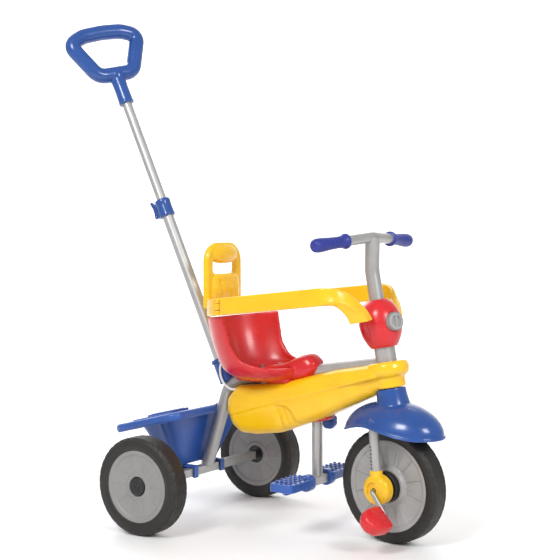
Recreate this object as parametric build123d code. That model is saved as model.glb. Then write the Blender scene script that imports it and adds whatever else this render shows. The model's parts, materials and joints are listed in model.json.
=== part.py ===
from build123d import *
import os
from math import cos, radians, sin, sqrt

# Child's tricycle. X forward, Y to the rider's left, Z up, millimetres.
# Everything is drawn with X = 0 at the rear axle; place_all() moves it so that
# the origin lies on the floor under the middle of the tricycle.

# ---- driving dimensions ----
MIDDLE_X = 124.0            # middle of the footprint, ahead of the rear axle
REAR_R = 100.0              # rear wheel radius
REAR_W = 47.0
REAR_RIM_R = 70.0
TRACK_HALF = 214.5          # middle plane of a rear wheel
FRONT_R = 114.0
FRONT_W = 45.6
FRONT_RIM_R = 92.0
WHEELBASE = 457.0
SHOULDER = 8.0              # rounding of a tyre's shoulders
TYRE_WALL = 4.0
AXLE_R = 5.0
RUN = 0.06                  # radial clearance of a running fit
GAP = 0.5                   # space between parts that move past each other

LEAN = 10.5                 # steering axis, degrees rearward at the top
HEAD = (440.0, 0.0, 381.0)  # a point on the steering axis
STEER_DEG = -8.5            # the bar is stored turned a little to the right
HEAD_TUBE = (-66.0, 8.0, 21.0, 17.0)      # from, to along the axis; radii
STEERER_R = 11.0
CROWN_S = -146.0
BALL_S = (9.5, 103.5)
BALL_R = 44.0
KNOB_AZIMUTH = -13.0        # lock knob, a little to the right of straight ahead
KNOB_OUT = 45.2             # middle of the knob, out from the steering axis
STEM_R = 14.75
BAR_T = (413.0, 0.0, 604.0)
BAR_R = 10.5
BAR_HALF = 160.0
BAR_SWEEP = 8.5
BAR_DROOP = 4.5
GRIP_START = 71.0
BLADE_Y = 50.0
BLADE_R = 10.0
COVER_R = 30.0
COVER_Y = (39.5, 64.0)
CRANK_R = 4.5
CRANK_Y = 71.0
CRANK_LENGTH = 58.0
CRANK_DEG = 37.0            # ahead of straight down, on the right side
PEDAL_Y = (79.0, 142.0)
PEDAL_TILT = 45.0

FRAME_R = 14.0
FRAME_PATH = [(4.5, 0, 104), (66, 0, 285), (100, 0, 303), (437, 0, 353)]
FRAME_BENDS = [45, 60]
BEAM = 18.0                 # square rear axle beam
POST_X = 285.0
POST_R = 11.0
FOOT_Z = 106.0
SPINDLE_R = 7.0
PAD_Y = (30.0, 130.0)
KNOB_Z = 222.0              # height of the foot rest's hand knob

BUCKET_FRONT = (42.0, 0.0, 245.0)         # front edge of the bucket's rim
BUCKET_TILT = 14.0          # the rim falls towards the rear
BUCKET_LONG = 178.0
BUCKET_HALF = 160.0
BUCKET_RIM = 18.0           # height of the rolled rim

POLE_DEG = 24.45            # push pole, degrees rearward at the top
POLE_BASE = (51.0, 0.0, 317.0)
POLE_OUT_R = 12.5
POLE_IN_R = 10.9
CLAMP_T = 385.0             # middle of the clamp along the pole
NECK_T = 641.0              # start of the handle's neck along the pole
HANDLE_TURN = 30.0          # the handle is stored turned about the pole
HANDLE_R = 18.0
HANDLE_LOOP = (75.0, 176.5, 42.0, 84.0)   # bottom, top; half widths there

RING_X = 165.0              # middle of the rounded back of the safety ring
RING_R = 128.0
RING_T = 10.0
RING_RISE = 0.1115          # slope of the safety ring, rising forward
RING_LOW = 430.3            # underside of the ring at X = 0
RING_TALL = 36.0
SEAT_DROP = 1.5             # the seat ends this far below the safety ring
PIVOT_X = 118.0             # hinge pins of the two arms
PANEL_X = 40.0              # back face of the backrest panel
PANEL_T = 15.0
PIN_R = 3.0


# ---- small helpers ----
def rod(start, end, radius):
    """A round bar between two points."""
    way = Vector(*end) - Vector(*start)
    return extrude(Plane(origin=start, z_dir=way) * Circle(radius), way.length)


def pipe(start, end, radius, bore):
    """A round tube between two points."""
    return rod(start, end, radius) - rod(start, end, bore)


def bent_rod(points, bends, radius):
    """A round bar along straight runs joined by tangent bends."""
    path = FilletPolyline(*points, radius=bends)
    section = Plane(origin=path @ 0, z_dir=path % 0) * Circle(radius)
    return sweep(section, path=path)


def block(x, y, z):
    """A box from its low and high value along each axis."""
    box = Box(x[1] - x[0], y[1] - y[0], z[1] - z[0])
    return Pos((x[0] + x[1]) / 2, (y[0] + y[1]) / 2, (z[0] + z[1]) / 2) * box


def slab(points, half):
    """A side-view outline in X and Z, as thick as half on each side."""
    face = Plane.XZ * make_face(Polyline(*points, close=True))
    return extrude(face, half, both=True)


def turned(points):
    """A body turned about the Y axis from points of radius and Y."""
    return revolve(make_face(Polyline(*points, close=True)), Axis.Y)


def both_sides(part):
    """The part on the left and its mirror image on the right, two solids."""
    return Compound(children=[part, mirror(part, about=Plane.XZ)])


def on_axis(s, forward=0.0, side=0.0):
    """A point s along the steering axis, in the straight-ahead pose."""
    lean = radians(LEAN)
    x = HEAD[0] - s * sin(lean) + forward * cos(lean)
    z = HEAD[2] + s * cos(lean) + forward * sin(lean)
    return (x, side, z)


def axis_plane(s):
    """A plane across the steering axis, x forward."""
    lean = radians(LEAN)
    return Plane(origin=on_axis(s), x_dir=(cos(lean), 0, sin(lean)), z_dir=(-sin(lean), 0, cos(lean)))


def on_pole(t, side=0.0, out=0.0):
    """A point t along the push pole; out is towards the rider."""
    lean = radians(POLE_DEG)
    x = POLE_BASE[0] - t * sin(lean) + out * cos(lean)
    z = POLE_BASE[2] + t * cos(lean) + out * sin(lean)
    return (x, side, z)


def pole_plane(t):
    """A plane across the push pole, x towards the rider."""
    lean = radians(POLE_DEG)
    return Plane(origin=on_pole(t), x_dir=(cos(lean), 0, sin(lean)), z_dir=(-sin(lean), 0, cos(lean)))


def handle_place():
    """Where the push handle's own frame lies, turned about the pole."""
    return pole_plane(NECK_T).location * Rot(0, 0, -HANDLE_TURN)


# ---- wheels ----
def tyre(radius, width, rim_r):
    """A moulded tyre, open towards the middle, with rounded shoulders."""
    half = width / 2
    inside = half - TYRE_WALL
    shell = turned([(rim_r, half), (radius, half), (radius, -half), (rim_r, -half), (rim_r, -inside),
                    (radius - TYRE_WALL, -inside), (radius - TYRE_WALL, inside), (rim_r, inside)])
    shoulders = shell.edges().filter_by(GeomType.CIRCLE).filter_by(lambda e: abs(e.radius - radius) < 0.01)
    return fillet(shoulders, SHOULDER)


def rim_plates(width, rim_r, hub_r):
    """Two dished wheel discs, held behind the tyre's side walls."""
    face = width / 2 - TYRE_WALL
    plate = turned([(hub_r, face - 4), (hub_r, face + 1), (hub_r + 8, face + 1), (hub_r + 12, face - 3),
                    (rim_r - 9, face - 1), (rim_r - 6, face), (rim_r + 4, face), (rim_r + 4, face - 3),
                    (rim_r - 5, face - 3), (rim_r - 9, face - 5), (hub_r + 12, face - 7), (hub_r + 4, face - 4)])
    return both_sides(plate)


def hub_drum(radius, half, bore):
    """The drum on the axle that carries both wheel discs."""
    drum = turned([(bore, -half), (radius, -half), (radius, half), (bore, half)])
    rims = drum.edges().filter_by(GeomType.CIRCLE).filter_by(lambda e: abs(e.radius - radius) < 0.01)
    return fillet(rims, 2)


def rear_wheel_parts(side):
    """Tyre, discs, hub and cap of one rear wheel; side is +1 on the left."""
    cap = turned([(0, 17), (19.5, 15), (19.5, 19.6), (15, 21), (0, 22)])
    hub = hub_drum(19.5, 15, AXLE_R + RUN) - turned([(0, 9), (9, 9), (9, 15.1), (0, 15.1)])
    parts = {"tyre": tyre(REAR_R, REAR_W, REAR_RIM_R),
             "discs": rim_plates(REAR_W, REAR_RIM_R, 19.5),
             "hub": hub,
             "cap": cap}
    at = Pos(0, TRACK_HALF, REAR_R)
    placed = {name: at * part for name, part in parts.items()}
    if side > 0:
        return placed
    return {name: mirror(part, about=Plane.XZ) for name, part in placed.items()}


def axle_nuts():
    """A push-on nut on each end of the rear axle, inside the hub."""
    nut = turned([(AXLE_R, 10), (8, 10), (8, 13), (AXLE_R, 13)])
    return both_sides(Pos(0, TRACK_HALF, REAR_R) * nut)


def front_wheel_parts():
    """Tyre, discs and hub drum of the driven front wheel."""
    at = Pos(WHEELBASE, 0, FRONT_R)
    return {"front_tyre": at * tyre(FRONT_R, FRONT_W, FRONT_RIM_R),
            "front_discs": at * rim_plates(FRONT_W, FRONT_RIM_R, COVER_R),
            "front_hub": at * hub_drum(COVER_R, 33, CRANK_R)}


def crank_end():
    """From the front axle to the right pedal's spindle."""
    swing = radians(CRANK_DEG)
    return (CRANK_LENGTH * sin(swing), -CRANK_LENGTH * cos(swing))


def crank():
    """One bent steel bar: spindle, arm, axle, arm, spindle."""
    dx, dz = crank_end()
    x, z = WHEELBASE, FRONT_R
    outer = PEDAL_Y[1] - 6
    points = [(x - dx, outer, z - dz), (x - dx, CRANK_Y, z - dz), (x, CRANK_Y, z),
              (x, -CRANK_Y, z), (x + dx, -CRANK_Y, z + dz), (x + dx, -outer, z + dz)]
    return bent_rod(points, 6, CRANK_R)


def pedal(side):
    """A rounded pedal block that turns on its spindle."""
    dx, dz = crank_end()
    long = PEDAL_Y[1] - PEDAL_Y[0]
    body = slab([(-22, -12), (12, -15), (24, -9), (28, 2), (22, 12), (6, 16), (-16, 12), (-25, 2)], long / 2)
    body = Pos(0, -long / 2, 0) * fillet(body.edges(), 5)
    places = [(-12 + 9 * i, -12 - 13 * j) for i in range(4) for j in range(4)]
    studs = Compound(children=[Pos(x, y, 12) * Sphere(4) for x, y in places])
    body = body + studs - rod((0, 20, 0), (0, 6 - long, 0), CRANK_R + RUN)
    part = Pos(WHEELBASE + dx, -PEDAL_Y[0], FRONT_R + dz) * Rot(0, PEDAL_TILT, 0) * body
    if side < 0:
        return part
    mirrored = mirror(part, about=Plane.XZ)
    return Pos(-2 * dx, 0, -2 * dz) * mirrored


# ---- steering ----
def steered(part):
    """The part turned to the stored steering angle."""
    lean = radians(LEAN)
    return part.rotate(Axis(HEAD, (-sin(lean), 0, cos(lean))), STEER_DEG)


def steerer():
    return rod(on_axis(CROWN_S - 4), on_axis(100), STEERER_R)


def fork_crown():
    """A plate under the mudguard that joins the steerer to both blades."""
    plate = block((434, 482), (-60, 60), (234, 241))
    plate = fillet(plate.edges().filter_by(Axis.Z), 14)
    return plate - steerer() - blade(1, True) - blade(-1, True)


def blade(side, solid=False):
    """One fork blade, from the crown down into the hub cover."""
    top = (447.2, side * BLADE_Y, 241)
    foot = (454.5, side * BLADE_Y, FRONT_R + 9)
    if solid:
        return rod(top, foot, BLADE_R)
    return pipe(top, foot, BLADE_R, BLADE_R - 1.5)


def hub_cover(side):
    """Round cover on the foot of a fork blade; the axle turns in it."""
    low, high = COVER_Y
    disc = rod((WHEELBASE, low, FRONT_R), (WHEELBASE, high, FRONT_R), COVER_R)
    disc = fillet(disc.edges().filter_by(GeomType.CIRCLE), 6)
    collar = rod((454.5, BLADE_Y, FRONT_R + 15), (452.6, BLADE_Y, FRONT_R + 36), 12.2)
    recess = rod((WHEELBASE, high - 5, FRONT_R), (WHEELBASE, high + 1, FRONT_R), 12)
    bore = rod((WHEELBASE, low - 1, FRONT_R), (WHEELBASE, high + 1, FRONT_R), CRANK_R + RUN)
    part = disc + collar - recess - bore - blade(1, True)
    return part if side > 0 else mirror(part, about=Plane.XZ)


def head_bush(low, high):
    return axis_plane(low) * (extrude(Circle(HEAD_TUBE[3]) - Circle(STEERER_R + RUN), high - low))


def stem():
    """Bent tube from inside the ball up to the handlebar."""
    path = [on_axis(55), on_axis(160), BAR_T]
    outer = bent_rod(path, 90, STEM_R)
    return outer - steerer() - handlebar()


def bar_end(side, reach):
    """A point along one half of the handlebar."""
    sweep_a, droop = radians(BAR_SWEEP), radians(BAR_DROOP)
    return (BAR_T[0] - reach * sin(sweep_a) * cos(droop), side * reach * cos(sweep_a) * cos(droop),
            BAR_T[2] - reach * sin(droop))


def handlebar():
    return bent_rod([bar_end(1, BAR_HALF - 4), BAR_T, bar_end(-1, BAR_HALF - 4)], 40, BAR_R)


def grip(side):
    """Moulded grip: flange, waist and a swelling towards the end."""
    length = BAR_HALF - GRIP_START
    points = [(0, 0), (15, 0), (15.5, 4), (15, 9), (12, 13), (12, 34), (13.2, 60), (14, length - 12),
              (12.5, length - 3), (9, length), (0, length)]
    body = revolve(make_face(Polyline(*points, close=True)), Axis.Y)
    way = Vector(*bar_end(side, 10)) - Vector(*bar_end(side, 0))
    place = Plane(origin=bar_end(side, GRIP_START), z_dir=way)
    return place * Rot(90, 0, 0) * body - handlebar()


def ball_half(front):
    """Half of the hollow barrel-shaped cover round the stem's foot."""
    low, high = BALL_S
    tall = high - low

    def outline(inset):
        mid = (BALL_R - inset, tall * 0.47)
        foot = (26 - inset, inset)
        top = (18.5 - inset, tall - inset)
        arc = ThreePointArc(foot, mid, top)
        return Plane.XZ * make_face(arc + Polyline(top, (0, tall - inset), (0, inset), foot))

    shell = revolve(outline(0), Axis.Z) - revolve(outline(3), Axis.Z)
    shell = shell - Cylinder(STEM_R, 300)
    keep = Pos(50 if front else -50, 0, 0) * Box(100, 200, 300)
    seat = Rot(0, 0, KNOB_AZIMUTH) * Pos(KNOB_OUT + 1.8, 0, tall * 0.46) * Rot(0, 90, 0) * Cylinder(18.6, 24)
    half = (shell & keep) - seat
    return axis_plane(low) * half



def knob_base():
    """Dark ring that frames the steering lock knob, set into the ball."""
    low, high = BALL_S
    ring = Cylinder(18.6, 10) - Cylinder(16.3, 12) + Pos(0, 0, -5.5) * Cylinder(18.6, 3)
    pin = Pos(0, 0, -8) * Cylinder(4, 4)
    turned = Rot(0, 0, KNOB_AZIMUTH) * Pos(KNOB_OUT - 1.2, 0, (high - low) * 0.46)
    return axis_plane(low) * turned * Rot(0, 90, 0) * (ring + pin)


def knob():
    """Steering lock knob with a finger slot."""
    low, high = BALL_S
    body = Cylinder(16, 8)
    body = fillet(body.edges().filter_by(GeomType.CIRCLE).sort_by(Axis.Z)[-1], 2)
    body = body - Pos(0, 0, 3) * Box(24, 4, 4)
    turned = Rot(0, 0, KNOB_AZIMUTH) * Pos(KNOB_OUT, 0, (high - low) * 0.46)
    return axis_plane(low) * turned * Rot(0, 90, 0) * body


def mudguard():
    """Domed mudguard over the front wheel with a neck round the steerer."""
    middle = Pos(WHEELBASE + 3, 0, 219)
    dome = middle * scale(Sphere(1), (111, 70, 64))
    hollow = middle * scale(Sphere(1), (108, 67, 61))
    lip = [(330, 217), (380, 226), (425, 233), (470, 225), (520, 217), (590, 217)]
    base = slab(lip + [(590, 100), (330, 100)], 90)
    neck = axis_plane(-112) * Cone(34, 28, 41, align=(Align.CENTER, Align.CENTER, Align.MIN))
    bore = axis_plane(-122) * Cylinder(19, 60, align=(Align.CENTER, Align.CENTER, Align.MIN))
    return dome + neck - hollow - bore - base


# ---- frame ----
def frame_tube():
    tube = bent_rod(FRAME_PATH, FRAME_BENDS, FRAME_R) - bent_rod(FRAME_PATH, FRAME_BENDS, FRAME_R - 1.6)
    low, high, outer, _ = HEAD_TUBE
    return tube - rod(on_axis(low), on_axis(high), outer) - block((-30, 40), (-30, 30), (80, REAR_R + BEAM / 2))


def head_tube():
    low, high, outer, bore = HEAD_TUBE
    return pipe(on_axis(low), on_axis(high), outer, bore)


def rear_beam():
    half = TRACK_HALF - REAR_W / 2 - 6
    beam = block((-BEAM / 2, BEAM / 2), (-half, half), (REAR_R - BEAM / 2, REAR_R + BEAM / 2))
    beam = fillet(beam.edges().filter_by(Axis.Y), 2)
    return beam - rear_axle()


def rear_axle():
    reach = TRACK_HALF + 14
    return rod((0, -reach, REAR_R), (0, reach, REAR_R), AXLE_R)


def axle_spacers():
    """A collar between each end of the beam and its wheel."""
    inner = TRACK_HALF - REAR_W / 2 - 6
    collar = pipe((0, inner, REAR_R), (0, TRACK_HALF - 15 - GAP, REAR_R), 9, AXLE_R)
    return both_sides(collar)


def fairing_outline():
    """Side view of the body shell, behind the nose."""
    return [(80, 268), (79, 240), (90, 206), (112, 189), (150, 190), (207, 198), (307, 235),
            (370, 265), (425, 292), (446, 312), (446, 352), (429, 353), (342, 337), (236, 309), (150, 294), (100, 288)]


def fairing_solid(inset):
    """The body shell's outer or inner volume."""
    face = make_face(Polyline(*fairing_outline(), close=True))
    if inset:
        face = offset(face, amount=-inset, kind=Kind.INTERSECTION)
    body = extrude(Plane.XZ * face, 38 - inset, both=True)
    if not inset:
        sides = body.edges().filter_by(Plane.XZ)
        body = chamfer(sides, 9)
    nose = axis_plane(-68.5 + inset) * loft([Circle(28 - inset), Pos(0, 0, 30) * Circle(42 - inset),
                                             Pos(0, 0, 46 - inset) * Circle(39 - inset)], ruled=True)
    return body + nose


def fairing_shell():
    """Hollow body shell with openings for the tubes that pass through it."""
    tube = bent_rod(FRAME_PATH, FRAME_BENDS, FRAME_R)
    head = rod(on_axis(-90), on_axis(30), HEAD_TUBE[2])
    post = rod((POST_X, 0, 150), (POST_X, 0, 330), POST_R)
    swing = rod(on_axis(-160), on_axis(-70), 33)
    socket = rod(on_pole(-40), on_pole(60), 17.5)
    return fairing_solid(0) - fairing_solid(3) - tube - head - post - socket - swing


def fairing_half(side):
    keep = Pos(300, side * 100, 280) * Box(700, 200, 400)
    return fairing_shell() & keep


def footrest_post():
    post = rod((POST_X, 0, FOOT_Z + 9), (POST_X, 0, 330), POST_R)
    return post - bent_rod(FRAME_PATH, FRAME_BENDS, FRAME_R)


def footrest_bar():
    """Crossbar: square in the middle, a round spindle for each pad."""
    middle = Pos(POST_X, 0, FOOT_Z) * Box(18, 2 * PAD_Y[0] - 2, 18)
    middle = fillet(middle.edges().filter_by(Axis.Y), 2)
    reach = PAD_Y[1] - 4
    return middle + rod((POST_X, -reach, FOOT_Z), (POST_X, reach, FOOT_Z), SPINDLE_R)


def footrest_sleeve():
    """Triangular collar where the post enters the body shell."""
    part = slab([(256, 212), (276, 212), (303, 220), (316, 240), (296, 250), (256, 220)], 21)
    part = fillet(part.edges().filter_by(Axis.Y), 2)
    return part - fairing_solid(0) - footrest_post()


def footrest_knob():
    """Hand knob that clamps the post, on the left."""
    stud = rod((POST_X, POST_R, KNOB_Z), (POST_X, 42, KNOB_Z), 3.5)
    head = rod((POST_X, 40, KNOB_Z), (POST_X, 56, KNOB_Z), 18)
    head = fillet(head.edges().filter_by(GeomType.CIRCLE), 3)
    return stud + head - footrest_post() - footrest_sleeve() - fairing_solid(0)


def footpad(side):
    """Folding foot pad with two lugs round the spindle."""
    low, high = PAD_Y
    deck = block((250, 304), (low, high), (FOOT_Z - 5, FOOT_Z + 11))
    deck = fillet(deck.edges().filter_by(Axis.Z), 10)
    lug = rod((POST_X, low, FOOT_Z), (POST_X, low + 20, FOOT_Z), 17)
    lug = fillet(lug.edges().filter_by(GeomType.CIRCLE), 2)
    outer_lug = rod((POST_X, high - 22, FOOT_Z), (POST_X, high - 8, FOOT_Z), 11)
    top = (FOOT_Z + 10, FOOT_Z + 12.5)
    ribs = [block((258 + 10 * i, 262 + 10 * i), (low + 14, high - 12), top) for i in range(4)]
    part = deck + lug + outer_lug
    for rib in ribs:
        part = part + rib
    part = part - rod((POST_X, low - 5, FOOT_Z), (POST_X, high - 3, FOOT_Z), SPINDLE_R + RUN)
    return part if side > 0 else mirror(part, about=Plane.XZ)


# ---- rear bucket ----
def bucket_place():
    return Pos(*BUCKET_FRONT) * Rot(0, -BUCKET_TILT, 0)


def bucket():
    """Tapered bucket with a deep rolled rim, open on top."""
    long, half, deep = BUCKET_LONG, BUCKET_HALF, BUCKET_RIM
    rim = fillet(block((-long, 0), (-half, half), (-deep, 0)).edges().filter_by(Axis.Z), 26)
    under = fillet(block((4 - long, -4), (4 - half, half - 4), (-deep - 12, -4)).edges().filter_by(Axis.Z), 22)
    mouth = fillet(block((-121, -25), (-137, 137), (-40, 5)).edges().filter_by(Axis.Z), 20)
    notch = block((-17, 5), (-19, 19), (-40, 5))
    rim = bucket_place() * (rim - under - mouth - notch)
    top = bucket_place() * Pos(-73, 0, -4) * fillet(Rectangle(104, 282).vertices(), 22)
    inner_top = bucket_place() * Pos(-73, 0, -2) * fillet(Rectangle(97, 275).vertices(), 19)
    foot = Pos(-34, 0, REAR_R + BEAM / 2 + 5) * fillet(Rectangle(40, 136).vertices(), 12)
    inner_foot = Pos(-34, 0, REAR_R + BEAM / 2 + 9) * fillet(Rectangle(33, 129).vertices(), 9)
    outer = loft([foot.face(), top.face()], ruled=True)
    inner = loft([inner_foot.face(), inner_top.face()], ruled=True)
    return rim + outer - inner - bucket_place() * mouth


def bucket_ribs():
    """Raised ribs on the rim and a raised grip block at the back."""
    ribs = []
    for i in range(9):
        x = -125 + 11 * i
        for side in (-1, 1):
            ribs.append(block((x, x + 7), (side * 148 - 6, side * 148 + 6), (0, 2)))
    grip_block = fillet(block((-160, -130), (-60, 60), (0, 7)).edges().filter_by(Axis.Z), 6)
    ribs.append(grip_block)
    return bucket_place() * Compound(children=ribs)


def bucket_clips():
    """Two hooks that hold the bucket on the axle beam."""
    top = REAR_R + BEAM / 2
    hook = block((-50, 13), (42, 54), (top, top + 5)) + block((9, 13), (42, 54), (top - 22, top + 5))
    return both_sides(hook)


# ---- seat ----
def seat_bowl(inset):
    """Volume of the rounded seat, outer or inner."""
    levels = [(306, 52, 163), (313, 76, 163), (332, 94, 161), (391, 107, 150), (455, 112, 142)]
    rings = []
    for z, radius, x in levels:
        rings.append(Pos(x, 0, z + (12 if inset and z < 320 else 0)) * Circle(radius - inset))
    return loft(rings, ruled=True)


def seat():
    """Bucket seat with a pommel; it straddles the frame tube."""
    bowl = seat_bowl(0) - seat_bowl(6)
    front = slab([(300, 500), (122, 500), (124, 430), (134, 380), (152, 350), (196, 338), (300, 330)], 150)
    top = RING_LOW - SEAT_DROP
    above = slab([(0, top), (300, top + 300 * RING_RISE), (300, 600), (0, 600)], 150)
    nose = [(190, 312), (250, 308), (282, 322), (293, 340), (290, 356), (270, 367), (236, 354), (190, 342)]
    pommel = slab(nose, 30)
    plan = Pos(204, 0, 290) * fillet(Rectangle(180, 56).vertices(), 27)
    pommel = pommel & extrude(plan, 100)
    saddle = block((112, 232), (-36, 36), (300, 330))
    part = bowl - front + pommel + saddle - above
    inside = seat_bowl(6) - slab([(232, 300), (300, 300), (300, 400), (232, 400)], 60)
    return part - inside - bent_rod(FRAME_PATH, FRAME_BENDS, FRAME_R) - fairing_solid(0)


def seat_bolts():
    """Two bolts down through the seat floor into the frame tube."""
    bolts = []
    for x in (150, 195):
        z = 303 + (x - 100) * 50 / 337 + FRAME_R - 1
        bolt = rod((x, 0, z), (x, 0, z + 8), 3) + rod((x, 0, z + 6), (x, 0, z + 11), 6.5)
        bolts.append(bolt - bent_rod(FRAME_PATH, FRAME_BENDS, FRAME_R))
    return Compound(children=bolts)


# ---- backrest and safety ring ----
def ring_slab(low=0.0, high=0.0):
    """The sloping layer that the safety ring lies in."""
    bottom, top = RING_LOW + low, RING_LOW + RING_TALL - high
    return slab([(-50, bottom - 50 * RING_RISE), (600, bottom + 600 * RING_RISE),
                 (600, top + 600 * RING_RISE), (-50, top - 50 * RING_RISE)], 200)


def ring_annulus():
    ring = Circle(RING_R) - Circle(RING_R - RING_T)
    return Pos(RING_X, 0, 400) * extrude(ring, 150)


def pivot_y():
    """Half distance between the arm hinge pins."""
    middle = RING_R - RING_T / 2
    return sqrt(middle ** 2 - (RING_X - PIVOT_X) ** 2)


def knuckle(low, high, radius=8.0):
    """A hinge knuckle on the left pin, between two levels of the ring."""
    base = RING_LOW + PIVOT_X * RING_RISE
    return rod((PIVOT_X, pivot_y(), base + low), (PIVOT_X, pivot_y(), base + high), radius)


def backrest():
    """Backrest: rounded band, tall panel with a window, and hinge lugs."""
    band = (ring_annulus() & ring_slab()) - block((PIVOT_X - 9.5, 400), (-200, 200), (300, 700))
    outline = Polyline((-64, 455), (-63, 545), (-59, 566), (-48, 583), (-22, 592), (22, 592), (48, 583),
                       (59, 566), (63, 545), (64, 455), close=True)
    window = Polyline((-44, 525), (44, 525), (45, 553), (22, 546), (0, 544), (-22, 546), (-45, 553), close=True)
    panel = Plane.YZ * (make_face(outline) - make_face(window))
    panel = Pos(PANEL_X, 0, 0) * extrude(panel, PANEL_T)
    panel = fillet(panel.edges().filter_by(Plane.YZ), 5)
    lugs = knuckle(11, 25) + mirror(knuckle(11, 25), about=Plane.XZ)
    ties = block((PIVOT_X - 14, PIVOT_X), (pivot_y() - 5, pivot_y() + 2), (455, 468))
    ties = (ties + mirror(ties, about=Plane.XZ)) & ring_slab(12.5, 12.5)
    pins = arm_pins_solid()
    return panel + band + lugs + ties - pins


def arm_pins_solid():
    pin = knuckle(1, RING_TALL - 1, PIN_R)
    return pin + mirror(pin, about=Plane.XZ)


def arm_pins():
    pin = knuckle(1, RING_TALL - 1, PIN_R)
    return both_sides(pin)


def arm_front():
    """Front end of the left arm: the band turns inward, twists and drops to a tip."""
    top = [(345, 128, 507), (372, 124, 507), (394, 110, 505), (412, 92, 496), (424, 75, 481), (433, 62, 464),
           (436, 54, 446)]
    low = [(345, 128, 469), (372, 126, 473), (390, 117, 474), (399, 108, 468), (406, 100, 458), (411, 95, 448),
           (413, 92, 438)]
    sections = []
    for i, (a, b) in enumerate(zip(top, low)):
        ahead, behind = min(i + 1, len(top) - 1), max(i - 1, 0)
        way = Vector(*top[ahead]) + Vector(*low[ahead]) - Vector(*top[behind]) - Vector(*low[behind])
        thick = RING_T - 0.8 * i
        inward = way.cross(Vector(*a) - Vector(*b)).normalized() * -thick
        corners = [Vector(*a), Vector(*b), Vector(*b) + inward, Vector(*a) + inward]
        sections.append(make_face(Polyline(*corners, close=True)))
    return loft(sections, ruled=True)


def arm(side):
    """One hinged arm of the safety ring."""
    bend = ring_annulus() & block((PIVOT_X + 9.5, RING_X), (0, 200), (300, 700))
    straight = block((RING_X, 346), (RING_R - RING_T, RING_R), (400, 600))
    body = (bend + straight) & ring_slab()
    knuckles = knuckle(0, 10.5) + knuckle(25.5, RING_TALL)
    tie_low = block((PIVOT_X, PIVOT_X + 12), (pivot_y() - 5, pivot_y() + 5), (400, 600))
    ties = tie_low & (ring_slab(0, 27.5) + ring_slab(27.5, 0))
    part = body + arm_front() + knuckles + ties - knuckle(-5, RING_TALL + 5, PIN_R + RUN)
    return part if side > 0 else mirror(part, about=Plane.XZ)


# ---- push pole ----
def pole_lower():
    return pipe(on_pole(2), on_pole(CLAMP_T - 4), POLE_OUT_R, POLE_IN_R + RUN)


def pole_socket():
    """Socket that joins the push pole to the top of the seat tube."""
    body = rod(on_pole(-26), on_pole(26), 17.5)
    lip = rod(on_pole(19), on_pole(26), 20)
    part = body + lip - rod(on_pole(2), on_pole(40), POLE_OUT_R)
    return part - bent_rod(FRAME_PATH, FRAME_BENDS, FRAME_R)


def socket_clip():
    """Pale clip on the right of the socket."""
    bar = rod(on_pole(-28, -22), on_pole(20, -22, -6), 2.6)
    eye = rod(on_pole(18, -25, -6), on_pole(18, -17.5, -6), 5.5)
    return bar + eye - pole_socket()


def clamp_collar():
    """Clamp at the top of the lower pole."""
    body = rod(on_pole(CLAMP_T - 19), on_pole(CLAMP_T + 17), 17)
    body = fillet(body.edges().filter_by(GeomType.CIRCLE), 2)
    ears = pole_plane(CLAMP_T - 12) * Pos(-21, 0, 0) * Box(14, 20, 12)
    slot = pole_plane(CLAMP_T - 12) * Pos(-24.6, 0, 0) * Box(13, 10.6, 30)
    body = body + ears - slot
    body = body - rod(on_pole(CLAMP_T - 30), on_pole(CLAMP_T - 4), POLE_OUT_R)
    pin = clamp_pin()
    return body - rod(on_pole(CLAMP_T - 6), on_pole(CLAMP_T + 30), POLE_IN_R + RUN) - pin


def clamp_pin():
    return rod(on_pole(CLAMP_T - 12, -10, -24), on_pole(CLAMP_T - 12, 10, -24), 2)


def clamp_lever():
    """Cam lever that opens away from the pole."""
    corners = [(-20.5, -16), (-28, -16), (-30, 2), (-28, 16), (-33, 28), (-28, 30), (-20.5, 19)]
    outline = Polyline(*corners, close=True)
    face = Plane.XZ * make_face(outline)
    body = extrude(face, 5, both=True)
    body = fillet(body.edges().filter_by(Axis.Y), 1)
    body = pole_plane(CLAMP_T) * body
    return body - rod(on_pole(CLAMP_T - 12, -10, -24), on_pole(CLAMP_T - 12, 10, -24), 2 + RUN)


def pole_upper():
    return pipe(on_pole(CLAMP_T - 135), on_pole(NECK_T + 40), POLE_IN_R, POLE_IN_R - 1.5)


def handle_whole():
    """Push handle: a rounded loop on a neck that fits over the pole."""
    bottom, top, narrow, wide = HANDLE_LOOP
    corners = [(0, -narrow, bottom), (0, -wide, top), (0, wide, top), (0, narrow, bottom)]
    path = FilletPolyline(*corners, radius=31, close=True)
    loop = sweep(Plane(origin=path @ 0, z_dir=path % 0) * Circle(HANDLE_R), path=path)
    neck = Cone(15, 17, 60, align=(Align.CENTER, Align.CENTER, Align.MIN))
    socket = Cylinder(POLE_IN_R + RUN, 84)
    return handle_place() * (loop + neck - socket)


def handle_half(front):
    side = 1 if front else -1
    keep = handle_place() * Pos(side * 50, 0, 100) * Box(100, 400, 300)
    return handle_whole() & keep


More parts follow.
